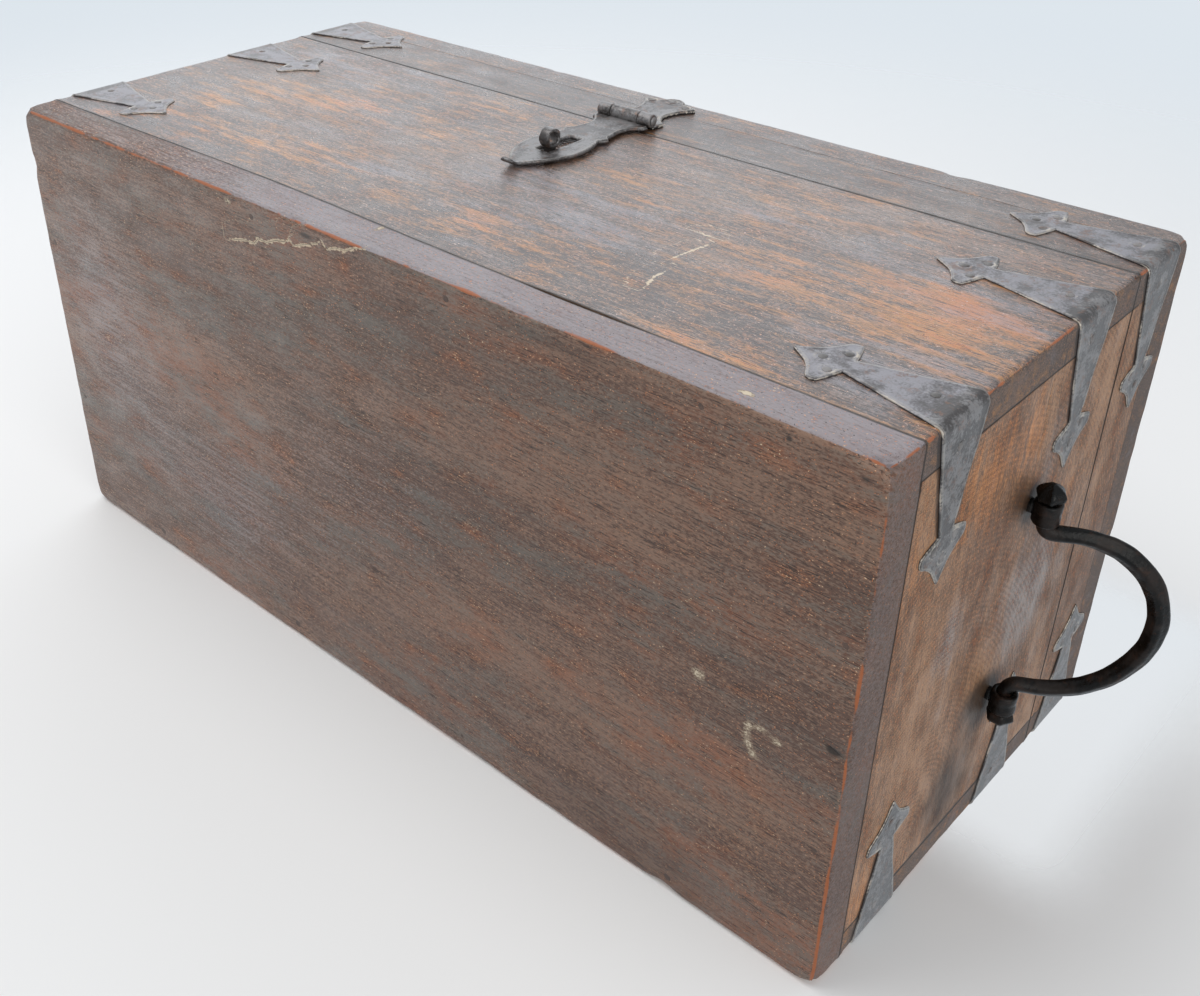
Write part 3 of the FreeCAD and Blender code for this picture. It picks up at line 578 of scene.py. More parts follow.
boards = {
    "cornerRound": 2.6,  # worn outer edges
    "seamRound": 0.3,
    "lidRound": 0.1,  # the close joints of the lid
    "hollow": 0.14,  # planing marks and wear, always inward
    "fine": 0.85,  # spacing of the mesh beside edges and marks, and elsewhere
    "coarse": 3.2,
    "band": 5.0,  # how far from an edge the mesh is fine
    "blur": 0.3,  # added to the distances that edges and faces are weighed by
    "splitWide": 0.9,
    "wornWide": 1.3,
    "grimeWide": 0.8,
    "seamBow": 3.0,  # rise of the bottom seam at its highest
    "seamBowAt": -75.0,
    "seamBowWide": 95.0,
    "seamDip": 0.6,
    "seamBottom": (4.0, 20.0),  # heights between which the bottom board takes up the seam
    "seamFront": (100.0, 107.0),  # how far to the front it does so
    "seamPanel": (20.0, 60.0),  # heights between which the front panel lets go of it
    "gapMost": 0.75,  # half of the seam's width where it is open, and elsewhere
    "gapLeast": 0.08,
    "gapAt": 113.0,
    "gapWide": 26.0,
    "rounds": (0.06, 12.0),  # least and most radius of an edge
    "chipDeep": 0.7,  # radius added at a chip, as a share of its size
    "hidden": 0.08,  # share of the hollow that joint faces get
    "closeJoints": 190.0,  # above this height joints are tight and clean
}
# chips along the edges: place and size
chips = (
    (-31, -121.5, 0, 4.5), (99, -121.5, 0, 4.0), (245, -121.5, 1, 7.0), (254, -121.5, 0, 7.5),
    (254, -2, 0, 4.5), (254, 58, 0, 3.0), (-251, -91, 0, 5.0), (-254, -121.5, 0, 6.0),
    (254, -60, 0, 3.0), (180, 121.5, 0, 5.0), (-254, 121.5, 0, 6.0), (254, 121.5, 0, 6.0),
    (254, -121.5, 183, 3.0), (-254, -121.5, 236, 4.5), (254, -121.5, 236, 5.0),
    (150, -121.5, 236, 4.0), (-90, -121.5, 236, 3.5), (10, 121.5, 236, 5.0), (254, 30, 236, 4.5),
)
# Two splits and a pit: the axis across the face they are on, points along the line, depth.
# Scratches and the painted shadows under the straps' arms only change the finish, so their depth is 0.
splits = (
    (2, ((-76, -99, 0), (-68, -101, 0), (-61, -101.5, 0), (-58, -104.5, 0), (-52, -104.5, 0),
         (-45, -107.5, 0), (-37, -109, 0), (-35.5, -111.5, 0), (-33, -108.5, 0), (-26, -111, 0),
         (-16, -114.5, 0), (-13.5, -117, 0), (-10, -113.5, 0), (-4, -116, 0), (2, -116.5, 0),
         (7, -119, 0), (14, -121.5, 0)), 0.3),
    (0, ((254, -104, 116), (254, -95, 115), (254, -84, 117), (254, -70, 116)), 0.3),
    (2, ((244.5, -3, 0), (248.4, -1.5, 0), (251.8, 0, 0)), 0.9),
)
scratches = (
    (1, ((119, -121.5, 51.6), (117.5, -121.5, 57.2), (117.4, -121.5, 63.5)), 0.0),
    (1, ((112.1, -121.5, 77), (113, -121.5, 85.7), (114.4, -121.5, 94.8)), 0.0),
    (1, ((105.5, -121.5, 103.6), (108.6, -121.5, 103.2)), 0.0),
)
# painted shadow under the lower edges of the straps' arms on the ends
strapShadowLines = tuple(
    (0, ((side * halfLong, edge * -118, z - 16.4), (side * halfLong, edge * -76, z - 5.6)), 0.0)
    for side in (-1, 1) for edge in (-1, 1) for z in strapLevels.values()
)
# where the mesh is fine besides the edges: places along x, y and z
fineLines = {
    "bottom_board": ((-68, -59, -50, -41, -32, -23, -14, -5, 4, 12, 215, 224), (-117, -108, -2, 8, 19), ()),
    "front_panel": ((112, 117), (), ()),
    "right_end_panel": ((), (), (116,)),
}
jointNails = {"radius": 1.8, "sink": 0.3, "inset": 71, "endInset": 73, "count": 4, "edge": 7.5}


def seamRise(x):
    # how far the seam over the bottom board strays from level at x (mm)
    bow = boards["seamBow"] * np.exp(-(((x - boards["seamBowAt"]) / boards["seamBowWide"]) ** 2))
    return bow - boards["seamDip"]


def seamGap(x):
    # half of the open line over the bottom board
    wide = ((x - boards["gapAt"]) / boards["gapWide"]) ** 4
    return boards["gapMost"] * np.exp(-wide) + boards["gapLeast"]


def besideLines(points, lines):
    # Signed distance of each point from polylines drawn on faces: the least of its distances
    # to the segments, with the sign of the side it lies on, so that it can be blended
    # between mesh points right across a line
    best = np.full(len(points), 9.0)
    for axis, corners, _ in lines:
        for a, b in zip(np.array(corners[:-1], float), np.array(corners[1:], float)):
            along = np.clip(((points - a) @ (b - a)) / ((b - a) @ (b - a)), 0, 1)
            apart = np.linalg.norm(points - a - along[:, None] * (b - a), axis=1)
            side = np.where(np.cross(b - a, points - a)[:, axis] < 0, -1, 1)
            best = np.where(apart < np.abs(best), apart * side, best)
    return best


def nailSpots():
    # heads of the nails through the bottom board and the lid top: even steps on the long
    # edges, two on each short edge
    first = halfLong - jointNails["inset"]
    xs = np.linspace(-first, first, jointNails["count"])
    ends = (halfDeep - jointNails["endInset"]) * np.array([-1, 1])
    spots = [(x, side * (halfDeep - jointNails["edge"])) for x in xs for side in (-1, 1)]
    spots += [(side * (halfLong - jointNails["edge"]), y) for y in ends for side in (-1, 1)]
    return np.array(spots)


def boardShell(name, seed):
    # a box cut to the board's own corners, its edges rounded by a radius that grows at the
    # chest's outer edges, with noise, at chips and at corners, and its faces pushed in by
    # planing waves, splits and sunk nail heads
    low, high = (np.array(corner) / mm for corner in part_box(name))
    outer = np.stack([np.abs(low - chestLow / mm) < 0.2, np.abs(high - chestHigh / mm) < 0.2], 1)
    band = min(boards["band"], (high - low).min() / 3)
    special = fineLines.get(name, ((), (), ()))
    spread = (boards["fine"], boards["coarse"], band)
    points, quads = boxShell([gridLines(low[a], high[a], *spread, special[a]) for a in range(3)])
    apart = np.stack([points - low, high - points], 2)  # distance to each face
    seamRound = boards["lidRound" if name.startswith("lid") else "seamRound"]
    radius, total, openEdge = np.zeros((3, len(points)))
    for a, b in ((0, 1), (0, 2), (1, 2)):
        for s, t in np.ndindex(2, 2):
            near = 1 / (np.hypot(apart[:, a, s], apart[:, b, t]) + boards["blur"]) ** 4
            both = outer[a, s] and outer[b, t]
            radius += near * (boards["cornerRound"] if both else seamRound)
            openEdge += near * both
            total += near
    radius /= total
    openEdge /= total  # 1 beside an outer edge of the chest
    metres = points * mm
    radius *= 1 + 0.3 * latticeNoise(metres, 38, seed) + 0.2 * latticeNoise(metres, 7, seed + 1)
    ragged = 1 + 0.5 * latticeNoise(metres, 2.6, seed + 2)
    for x, y, z, size in chips:
        away = np.linalg.norm(points - (x, y, z), axis=1)
        radius += openEdge * size * boards["chipDeep"] * ragged * np.exp(-((away / size) ** 2) * ragged)
    flat, way = roundedOffsets(points, low, high, np.clip(radius, *boards["rounds"]))
    nearness = 1 / (apart + boards["blur"]) ** 4
    # 1 on the chest's outside, 0 in its joints
    shown = (nearness * outer).sum((1, 2)) / nearness.sum((1, 2))
    planed = 1 + 0.5 * latticeNoise(metres, (90, 30, 30), seed + 3)
    planed = planed + 0.5 * latticeNoise(metres, 14, seed + 4)
    push = boards["hollow"] * planed * (boards["hidden"] + (1 - boards["hidden"]) * shown)
    for line in splits:
        push += line[2] * np.exp(-((besideLines(points, (line,)) / boards["splitWide"]) ** 2))
    if name in ("bottom_board", "lid_top_board"):
        face = points[:, 2] < 0.1 if name == "bottom_board" else points[:, 2] > chestTall - 0.1
        for x, y in nailSpots():
            away = np.hypot(points[:, 0] - x, points[:, 1] - y)
            push += face * jointNails["sink"] * np.exp(-((away / jointNails["radius"]) ** 2))
    flat -= way * push[:, None]
    # the seam over the bottom board wanders, and opens where the board has cupped
    if name in ("bottom_board", "front_panel"):
        rise, gap = seamRise(points[:, 0]), seamGap(points[:, 0])
        if name == "bottom_board":
            share = np.interp(points[:, 2], boards["seamBottom"], (0, 1))
            flat[:, 2] += share * smoothStep(*boards["seamFront"], -points[:, 1]) * (rise - gap)
        else:
            share = np.interp(points[:, 2], boards["seamPanel"], (1, 0))
            flat[:, 2] += share * (rise + gap)
    edge = np.sort(apart.reshape(len(points), 6), axis=1)[:, 1]  # distance to the nearest edge
    patchy = 0.8 + 0.7 * latticeNoise(metres, 17, seed + 6) + 0.6 * latticeNoise(metres, 4, seed + 7)
    worn = openEdge * np.exp(-((edge / boards["wornWide"]) ** 2)) * np.clip(patchy, 0, 1.6)
    grime = (1 - openEdge) * np.exp(-((edge / boards["grimeWide"]) ** 2))
    if name.startswith("lid"):
        grime = grime * (points[:, 2] < boards["closeJoints"])
    bare = 1 - smoothStep(0.3, 0.6, shown)
    return (flat * mm, [quads]), points, {"worn": worn, "grime": grime, "bare": bare}


def ellipseMark(points, centre, size, axes):
    # 1 at the middle of a soft ellipse lying in the two given axes, falling off as a bell
    away = sum(((points[:, a] - c) / s) ** 2 for a, c, s in zip(axes, centre, size))
    return np.exp(-away)


# soft patches by face, of wear, dirt, painted sheen and painted shadow: middle, half sizes and
# strength, across the face's two axes
frontFace, endFace, underFace = (0, 2), (1, 2), (0, 1)
facePatches = {
    ("tan", frontFace): (
        (185, 90, 60, 28, 0.6), (-124, 49, 26, 9, 0.6), (-84, 47, 16, 6, 0.5), (-196, 46, 20, 9, 0.5),
        (-95, 60, 40, 10, 0.4), (105, 17, 40, 7, 0.5), (165, 24, 50, 7, 0.6), (40, 50, 60, 14, 0.5),
        (60, 125, 50, 18, 0.35), (-40, 120, 50, 14, 0.35), (-150, 120, 40, 25, 0.5),
        (-60, 165, 60, 10, 0.4), (130, 150, 40, 14, 0.4), (-200, 90, 30, 30, 0.4),
        (211, 115, 25, 12, 0.5), (228, 95, 24, 34, 0.6),
    ),
    # patches of painted sheen on the front
    ("haze", frontFace): (
        (236, 60, 16, 30, 0.5), (240, 128, 14, 26, 0.35), (222, 36, 30, 8, 0.5), (73, 80, 30, 16, 0.7),
        (-12, 78, 60, 22, 0.5), (150, 130, 60, 14, 0.5), (-180, 160, 50, 20, 0.6), (20, 108, 60, 14, 0.5),
        (205, 60, 30, 10, 0.6),
    ),
    ("tan", endFace): (
        (-81, 75, 26, 30, 0.7), (84, 95, 34, 45, 0.4), (-30, 150, 40, 24, 0.5), (-60, 20, 40, 14, 0.5),
        (90, 25, 30, 20, 0.5), (-80, 108, 24, 12, 0.5),
    ),
    # patches of painted sheen on the ends
    ("haze", endFace): ((4, 138, 28, 26, 1.0), (-13, 68, 20, 20, 0.5), (-70, 130, 20, 20, 0.4)),
    # darker round the handles' eyes; the broad patch behind and below the back eye is a painted shadow of the
    # bail
    ("grime", endFace): (
        (-46, 120, 11, 9, 1.0), (-58, 106, 16, 12, 0.6), (48, 118, 13, 12, 1.0), (40, 104, 13, 14, 0.6),
        (84, 96, 34, 36, 0.85), (20, 60, 30, 20, 0.4),
    ),
    ("tan", underFace): (
        (152, -49, 8, 3, 0.6), (220, 60, 30, 60, 0.4), (120, -100, 50, 10, 0.3), (240, -90, 14, 30, 0.4),
    ),
    # patches of painted sheen on the underside, brightest at the left
    ("haze", underFace): ((-205, -20, 60, 90, 0.5), (-110, 60, 70, 50, 0.4), (0, 0, 90, 60, 0.3)),
    # the wedge beside the split and the broad patch along the back of the right half are painted shade; the
    # patch at x 248 darkens the pit
    ("grime", underFace): (
        (-23, -116, 6, 1.6, 1.0), (217, -116, 1.5, 1.5, 1.0), (248, -1.6, 3.4, 1.7, 1.4),
        (245, -113, 2, 1.5, 0.9), (170, 110, 110, 34, 0.55), (120, -114, 60, 6, 0.5),
    ),
    ("dust", underFace): (
        (213.4, 8, 3.0, 2.6, 0.72), (212.8, 12.5, 2.8, 3.2, 0.66), (214, 17, 2.9, 2.8, 0.66),
        (216.8, 21, 3.2, 2.6, 0.74), (219, 6.5, 3.6, 2.2, 0.8), (226, 8.5, 3.4, 2.6, 0.85),
        (219, 14, 8, 8, 0.2), (190, -1, 4.0, 3.0, 0.75), (236, 3, 6, 5, 0.5), (214, 83, 3, 2, 0.7),
        (-77, -117, 4, 2.5, 0.9), (190, -4, 4, 3, 0.6), (-155, -25, 1.5, 20, 0.3),
        (239, -8, 3, 2, 0.6), (206, 34, 4, 3, 0.5),
    ),
    ("dust", frontFace): ((4, 18, 2.2, 4.0, 1.0), (195.4, 7, 3.2, 1.6, 1.4), (130, 9, 70, 6, 0.35)),
}


def boardMarks(name, points, marks):
    # Adds to the values per point for the finish: the patches of the face each point is on, among
    # them painted sheen and painted shadow, a painted sheen on the bottom board's front edge and
    # ends, grime on the lid's front, end grain where a board reaches the chest's end, and the
    # distances from splits, scratches and the painted shadows under the straps' arms
    marks = {**marks, **{key: 0 * marks["worn"] for key in ("tan", "dust", "haze")}}
    toFront = points[:, 1] < 0.1 - halfDeep
    toEnd = np.abs(points[:, 0]) > halfLong - 0.1
    face = {frontFace: toFront, endFace: toEnd, underFace: points[:, 2] < 0.1}
    for (key, axes), patches in facePatches.items():
        for first, second, wide, tall, much in patches:
            patch = ellipseMark(points, (first, second), (wide, tall), axes)
            marks[key] = marks[key] + face[axes] * much * patch
    if name == "bottom_board":
        # painted sheen along the bottom board's front edge, stronger to the right, and on its ends
        edgeSheen = 0.4 + 0.45 * smoothStep(-180, -20, points[:, 0])
        marks["haze"] = marks["haze"] + edgeSheen * toFront + 0.5 * toEnd
    if name == "lid_front_rail":
        marks["grime"] = marks["grime"] + 0.5 * toFront
    marks = {key: np.clip(value, 0, 1.4) for key, value in marks.items()}
    marks["grain"] = toEnd * (boardNodes[name] != "endWood")
    marks["split"] = besideLines(points, splits)
    marks["scratch"] = besideLines(points, splits[:1] + scratches)
    marks["seat"] = besideLines(points, strapShadowLines) * 0.45
    return marks


boardNodes = {
    "bottom_board": "dullWood", "front_panel": "waxedWood", "back_panel": "waxedWood",
    "left_end_panel": "endWood", "right_end_panel": "endWood",
    "lid_top_board": "waxedWood", "lid_front_rail": "waxedWood", "lid_back_rail": "waxedWood",
    "lid_left_rail": "endWood", "lid_right_rail": "endWood",
}
for seed, (name, finish) in enumerate(boardNodes.items(), 11):
    shell, points, marks = boardShell(name, seed * 10)
    addPiece("worn_" + name, shell, name, finish, boardMarks(name, points, marks))
    print("board", name, sum(len(face) for face in shell[1]), "quads")
print("boards")


spade = {  # the cut head of each strap and leaf
    # distance back from the tip, half width, bow of the edge that ends there
    "stops": ((22.0, 4.8, 0), (18.5, 15.6, 0.27), (13.0, 13.6, 1.22), (7.5, 5.6, -0.48), (0, 0.35, 0)),
    "fine": (22.0, 18.5, 13.0, 8.0),  # where the rows of the mesh stand close
    "nails": ((11.5, 0.0), (17.6, 7.2), (17.6, -7.2)),
}
sheet = {  # what all sheet iron shares
    "rows": (0.55, 1.6, 1.0),  # fine spacing, coarse spacing, how far the fine reaches
    "slotShare": 0.35,  # share of the half width that a slot takes
    "round": 0.9,  # width of the rounded cut edge
    "ridge": 0.8,  # width of the ridge along it
    "nailRidge": (0.9, 3.1, 0.7),  # height, radius and width of the ring round a nail
    "dirt": 0.8,  # how far dirt reaches in from the edge
    "nailDirt": (0.8, 2.6, 0.6),
    "foot": 1.5,  # thickness of the strip beside a knuckle
}


def bowedLine(stops):
    # dense points through (along, half width) stops; an edge with a bow swells sideways by
    # 4t(1 - t) times it
    points = []
    t = np.linspace(0, 1, 24)[:, None]
    for (a, h, _), (b, k, bow) in zip(stops[:-1], stops[1:]):
        start, end = np.array([a, h]), np.array([b, k])
        side = np.array([start[1] - end[1], end[0] - start[0]]) / np.hypot(*(end - start))
        points.append(start + t * (end - start) + 4 * t * (1 - t) * bow * side)
    return np.concatenate(points)


def spadeStops(reach):
    # stops of a head whose tip is at reach
    return [(reach - back, half, bow) for back, half, bow in spade["stops"]]


def ringBell(away, height, radius, wide):
    # height * exp(-((away - radius) / wide)^2)
    return height * np.exp(-(((away - radius) / wide) ** 2))


def layOn(place, spots, height):
    # where flat (along, across) spots come to lie at a height over the surface
    spots = np.asarray(spots)
    return place(spots[:, 0], spots[:, 1], np.full(len(spots), height))


def ironSheet(outline, place, thick, seed, nails=(), rows=None, slot=None, sunk=0.8, ridge=0.2, wave=0.12):
    # Sheet iron cut to an outline of (along, half width) points: rows run across it, their
    # points spread to the half width there. Its height falls off near the cut edge as a
    # quarter round of the distance to it, is dished between a ridge along the edge and rings
    # round the nails, and wavers with the hammering. place(along, across, height) bends it
    # to shape. A slot (from, to, half width) is left open. Gives the shell and its marks.
    start, end = outline[:, 0].min(), outline[:, 0].max()
    if rows is None:
        rows = gridLines(start, end, *sheet["rows"], [end - back for back in spade["fine"]])
    half = np.interp(rows, outline[:, 0], outline[:, 1])
    part = sheet["slotShare"]
    side = np.concatenate([np.linspace(part, 0.86, 9), [0.91, 0.945, 0.975, 1.0]])
    share = np.concatenate([-side[::-1], np.linspace(-0.27, 0.27, 7), side])
    across = share * half[:, None]
    rim = np.concatenate([outline, outline * (1, -1)])
    keep = None
    if slot:
        a, b, w = slot
        opened = np.minimum(w, part * half)[:, None]
        beyond = opened + (np.abs(share) - part) / (1 - part) * (half[:, None] - opened)
        across = np.where(np.abs(share) <= part, share / part * opened, np.sign(share) * beyond)
        t = np.linspace(0, 1, 60)[:, None]
        loop = np.array([(a, -w), (b, -w), (b, w), (a, w), (a, -w)])
        rim = np.concatenate([rim, *[p + t * (q - p) for p, q in zip(loop[:-1], loop[1:])]])
        middle = (rows[1:] + rows[:-1]) / 2
        centre = (share[1:] + share[:-1]) / 2
        keep = ~(((middle > a) & (middle < b))[:, None] & (np.abs(centre) < part)[None])
    along = np.broadcast_to(rows[:, None], across.shape)
    flat = np.stack([along, across], 2).reshape(-1, 2)
    gap = np.min([np.hypot(*(flat - p).T) for p in rim], axis=0)
    rounded = np.sqrt(np.clip(1 - (1 - np.clip(gap / sheet["round"], 0, 1)) ** 2, 0, 1))
    ridged = ringBell(gap, 1.0, sheet["round"], sheet["ridge"])
    dirt = np.exp(-gap / sheet["dirt"])
    for n, w in nails:
        away = np.hypot(flat[:, 0] - n, flat[:, 1] - w)
        ridged += ringBell(away, *sheet["nailRidge"])
        dirt += ringBell(away, *sheet["nailDirt"])
    ridged = np.clip(ridged, 0, 1)
    hammer = 0.5 + 0.5 * latticeNoise(layOn(place, flat, 0.0), 7, seed)
    height = thick * (0.25 + 0.75 * rounded) * (1 - ridge * (1 - ridged)) * (1 - wave * hammer)
    front = layOn(place, flat, height).reshape(*across.shape, 3)
    back = layOn(place, flat, -sunk).reshape(*across.shape, 3)
    shell, used = sheetShell(front, back, keep)
    none = 0 * dirt
    # the wall mark paints shade on the cut walls and on the back
    marks = {"rim": (ridged * rounded, none), "dirt": (dirt, none), "wall": (none, 1 + none)}
    return shell, {key: np.concatenate(pair)[used] for key, pair in marks.items()}


nailHead = {
    "radius": 2.0,
    "deep": 3.0,
    "around": 10,  # points in a ring
    "seat": 0.8,  # where a head sits, as a share of the sheet's thickness
}


def addNails(group, places, ways, seed):
    # low domed heads on short shanks, one shell each: rings of points whose radius and
    # height follow a quarter round, each head a little out of round
    around = np.linspace(0, 2 * np.pi, nailHead["around"], endpoint=False)
    lift = np.array([-nailHead["deep"], -0.05, 0.1, 0.26, 0.4, 0.48])
    wide = np.array([0.45, 1.0, 0.98, 0.82, 0.5, 0.2]) * nailHead["radius"]
    shells = []
    for k, (place, way) in enumerate(zip(places, ways)):
        random = np.random.default_rng(seed + k)
        side = np.cross(way, (0.3, 0.5, 0.8))
        side /= np.linalg.norm(side)
        other = np.cross(way, side)
        radius = wide[:, None] * (1 - 0.16 * random.random(nailHead["around"]))
        rings = (
            place + lift[:, None, None] * way * (0.75 + 0.25 * random.random())
            + (radius * np.cos(around))[..., None] * side + (radius * np.sin(around))[..., None] * other
        )
        shells.append(ringShell(rings * mm))
    addPiece("driven_" + group, joinShells(shells), group, "nailIron")


straps = {
    "stands": 0.75,  # let in, so that little of the iron's thickness shows
    "half": 15.8, "frontArm": 65.0, "endArm": 69.0, "bend": 3.0,
    "cornerNail": 12.0, "stagger": 1.6,
    "rows": (0.55, 1.8, 1.2),  # fine spacing, coarse spacing, how far the fine reaches
}
sides = {"front_right": (1, 1), "front_left": (-1, 1), "back_right": (1, -1), "back_left": (-1, -1)}
quarter = straps["bend"] * np.pi / 4  # half of the arc round the corner


def cornerPlace(along, across, height, level, sideX, sideY):
    # a point of a strap laid round an upright corner: along is 0 at the middle of the bend,
    # below 0 on the long side and above 0 on the end; height is out from the timber
    bend = straps["bend"]
    turn = (np.clip(along / quarter, -1, 1) - 1) * np.pi / 4
    out = np.stack([np.cos(turn), np.sin(turn)], 1)
    centre = np.array([halfLong - bend, bend - halfDeep])
    beyond = np.stack([np.minimum(along + quarter, 0), np.maximum(along - quarter, 0)], 1)
    flat = centre + out * (bend + height)[:, None] + beyond
    return np.stack([sideX * flat[:, 0], sideY * flat[:, 1], level + across], 1) * mm


# both arms as one outline: half width against the distance along the strap
arms = []
for arm in ("frontArm", "endArm"):
    reach = straps[arm] - straps["bend"] + quarter
    arms.append(bowedLine([(0, straps["half"], 0), (quarter, straps["half"], 0), *spadeStops(reach)]))
outline = np.concatenate([arms[0][::-1] * (-1, 1), arms[1]])
tips = (-arms[0][-1, 0], arms[1][-1, 0])
spots = [(np.sign(tip) * (abs(tip) - back), w) for tip in tips for back, w in spade["nails"]]
cornerOut = straps["cornerNail"] - straps["bend"] + quarter
spots += [(-cornerOut, straps["stagger"]), (cornerOut, -straps["stagger"])]
special = [np.sign(tip) * (abs(tip) - back) for tip in tips for back in spade["fine"]]
strapRows = gridLines(*tips, *straps["rows"], special + [0])
nailPlaces = {"body_strap_nails": [], "lid_strap_nails": []}
for level, (label, height) in enumerate(strapLevels.items()):
    for corner, (sideX, sideY) in sides.items():
        name = label.format(corner)

        def place(along, across, out):
            return cornerPlace(along, across, out, height, sideX, sideY)

        seed = 200 + 10 * level + 3 * sideX + sideY
        shell, rim = ironSheet(outline, place, straps["stands"], seed, spots, strapRows)
        across, deep = np.abs(shell[0][:, 0]) / mm, np.abs(shell[0][:, 1]) / mm
        # painted sheen on the long side's arm
        rim["armSheen"] = (deep > halfDeep - 0.1) * smoothStep(252, 246, across)
        addPiece("forged_" + name, shell, name, "strapIron", rim)
        seat = straps["stands"] * nailHead["seat"]
        foot, top = (layOn(place, spots, out) / mm for out in (seat, seat + 1))
        group = "lid_strap_nails" if label.startswith("lid") else "body_strap_nails"
        nailPlaces[group] += list(zip(foot, top - foot))
for group, places in nailPlaces.items():
    addNails(group, *zip(*places), 500)
print("straps and nails")


def flatPlace(x, y, z, wayY, wayZ):
    # places sheet points on an upright face: along goes up (1) or down (-1) from z, across
    # runs along x, height stands out to the front (-1) or the back (1)
    def place(along, across, height):
        return np.stack([x + across, y + wayY * height, z + wayZ * along], 1) * mm

    return place


def footSheet(place, start, end, rows, sunk, half, seed):
    # the strip of sheet that joins a leaf to one of its knuckles, with its marks
    outline = np.array([(start, half - 0.1), (end, half - 0.1)])
    rows = np.linspace(start, end, rows)
    return ironSheet(outline, place, sheet["foot"], seed, (), rows, None, sunk, 0.0, 0.1)


def ringsAlongX(x, y, z, radius, turn):
    # rings of points (x, y + radius * cos(turn), z + radius * sin(turn))
    return np.stack(np.broadcast_arrays(x, y + radius * np.cos(turn), z + radius * np.sin(turn)), 2)


def rolledKnuckle(x0, x1, hinge, seed):
    # a sheet rolled round a pin: a closed ring of outer skin, rounded ends and bore, turned
    # about the pin, with a shallow line where the roll meets the sheet
    bore = hinge["bore"]
    edge = np.array([0.0, 0.15, 0.5])
    low = np.array([0.5, 0.15, 0.0])
    body = np.linspace(x0 + 1, x1 - 1, 8)
    xs = np.concatenate([x0 + edge, body, x1 - edge[::-1], [x1, x1 - 0.2, x0 + 0.2, x0]])
    drop = np.concatenate([low, np.zeros(8), low[::-1]])
    rs = np.concatenate([hinge["knuckle"] - drop, [bore + 0.1, bore, bore, bore + 0.1]])
    turn = np.linspace(0, 2 * np.pi, 40, endpoint=False)
    outer = (rs > bore + 0.3)[:, None]
    r = rs[:, None] - outer * ringBell(turn, 0.3, 0.9, 0.16)
    rings = ringsAlongX(xs[:, None], hinge["pinY"], hinge["pinZ"], r, turn) * mm
    wave = 0.12 * (1 + latticeNoise(rings.reshape(-1, 3), 3.5, seed).reshape(r.shape)) * outer * mm
    rings[..., 1] -= wave * np.cos(turn)
    rings[..., 2] -= wave * np.sin(turn)
    return ringShell(rings, loop=True)


def addPin(name, x0, x1, hinge):
    # a round pin a little longer than its knuckles, both ends hammered into low domes
    dome = np.array([1.0, 0.8, 0.4, 0.05, 0.0])
    wide = np.array([0.3, 0.7, 0.95, 1.0]) * hinge["head"]
    xs = np.concatenate([x0 - 0.1 - dome, x1 + 0.1 + dome[::-1]])
    rs = np.concatenate([wide, [hinge["pin"]] * 2, wide[::-1]])
    turn = np.linspace(0, 2 * np.pi, 24, endpoint=False)
    rough = 1 - 0.06 * (1 + np.sin(3 * turn + 1)) * (rs > hinge["pin"])[:, None]
    rings = ringsAlongX(xs[:, None], hinge["pinY"], hinge["pinZ"], rs[:, None] * rough, turn)
    addPiece("peened_" + name, ringShell(rings * mm), name, "strapIron")


def softBlock(low, high, radius, seed):
    # a small forged bar: a box with rounded edges, a little uneven
    low, high = np.array(low, float), np.array(high, float)
    counts = [max(4, int(size / 0.7)) for size in high - low]
    points, quads = boxShell([np.linspace(*span) for span in zip(low, high, counts)])
    points, way = roundedOffsets(points, low, high, np.full(len(points), radius))
    points -= way * 0.1 * (1 + latticeNoise(points * mm, 4, seed))[:, None]
    return points * mm, [quads]


def addIron(name, parts, node, finish="strapIron"):
    # joins parts, each a shell and its marks or None, into one piece that stands for a node
    marks = {
        key: np.concatenate([np.zeros(len(shell[0])) if own is None else own[key] for shell, own in parts])
        for key in ("rim", "dirt", "wall")
    }
    addPiece(name, joinShells([shell for shell, _ in parts]), node, finish, marks)


hasp = {
    "x": -5.0, "pinY": -126.0, "pinZ": 190.3, "knuckle": 3.5, "bore": 1.66, "pin": 1.6, "head": 2.4,
    "width": 33.0, "middle": 17.0, "gap": 0.3, "sheet": 1.8, "leafBack": -122.7,
    "tip": 81.0, "tipHalf": 3.6, "lipInside": 6.0, "lipTurn": 55.0,
    "slot": (38.75, 62.35, 3.6),  # from, to, half width
    "leafFoot": (-0.5, 5.6, 14, -0.05),  # from, to, rows, how deep its back lies
    "plateFoot": (0.2, 5.6, 12, 0.5),
    "leafRows": (0.4, 0.9, 2.0, (31.0, 81.0)),  # spacings, reach, where the rows are fine
    "plateRows": (0.35, 0.9, 2.0, (34.0, 38.0)),
    "leaf": (  # along, half width, bow
        (3.85, 16.3, 0), (6.85, 16.3, 0), (18.0, 9.7, -1.64), (28.0, 11.6, 0), (31.0, 14.4, 0),
        (35.5, 11.6, 0), (81.0, 3.6, 7.66),
    ),
    "plate": (
        (3.85, 16.3, 0), (7.85, 17.1, 0), (19.0, 9.6, -1.56), (34.0, 16.0, -1.35), (36.6, 14.6, 0.5),
        (38.0, 6.5, 0.3), (43.5, 0.35, 1.4),
    ),
    "plateNails": ((37.5, 0.0), (34.0, 10.5), (34.0, -10.5), (12.5, 7.0), (12.5, -7.0)),
}


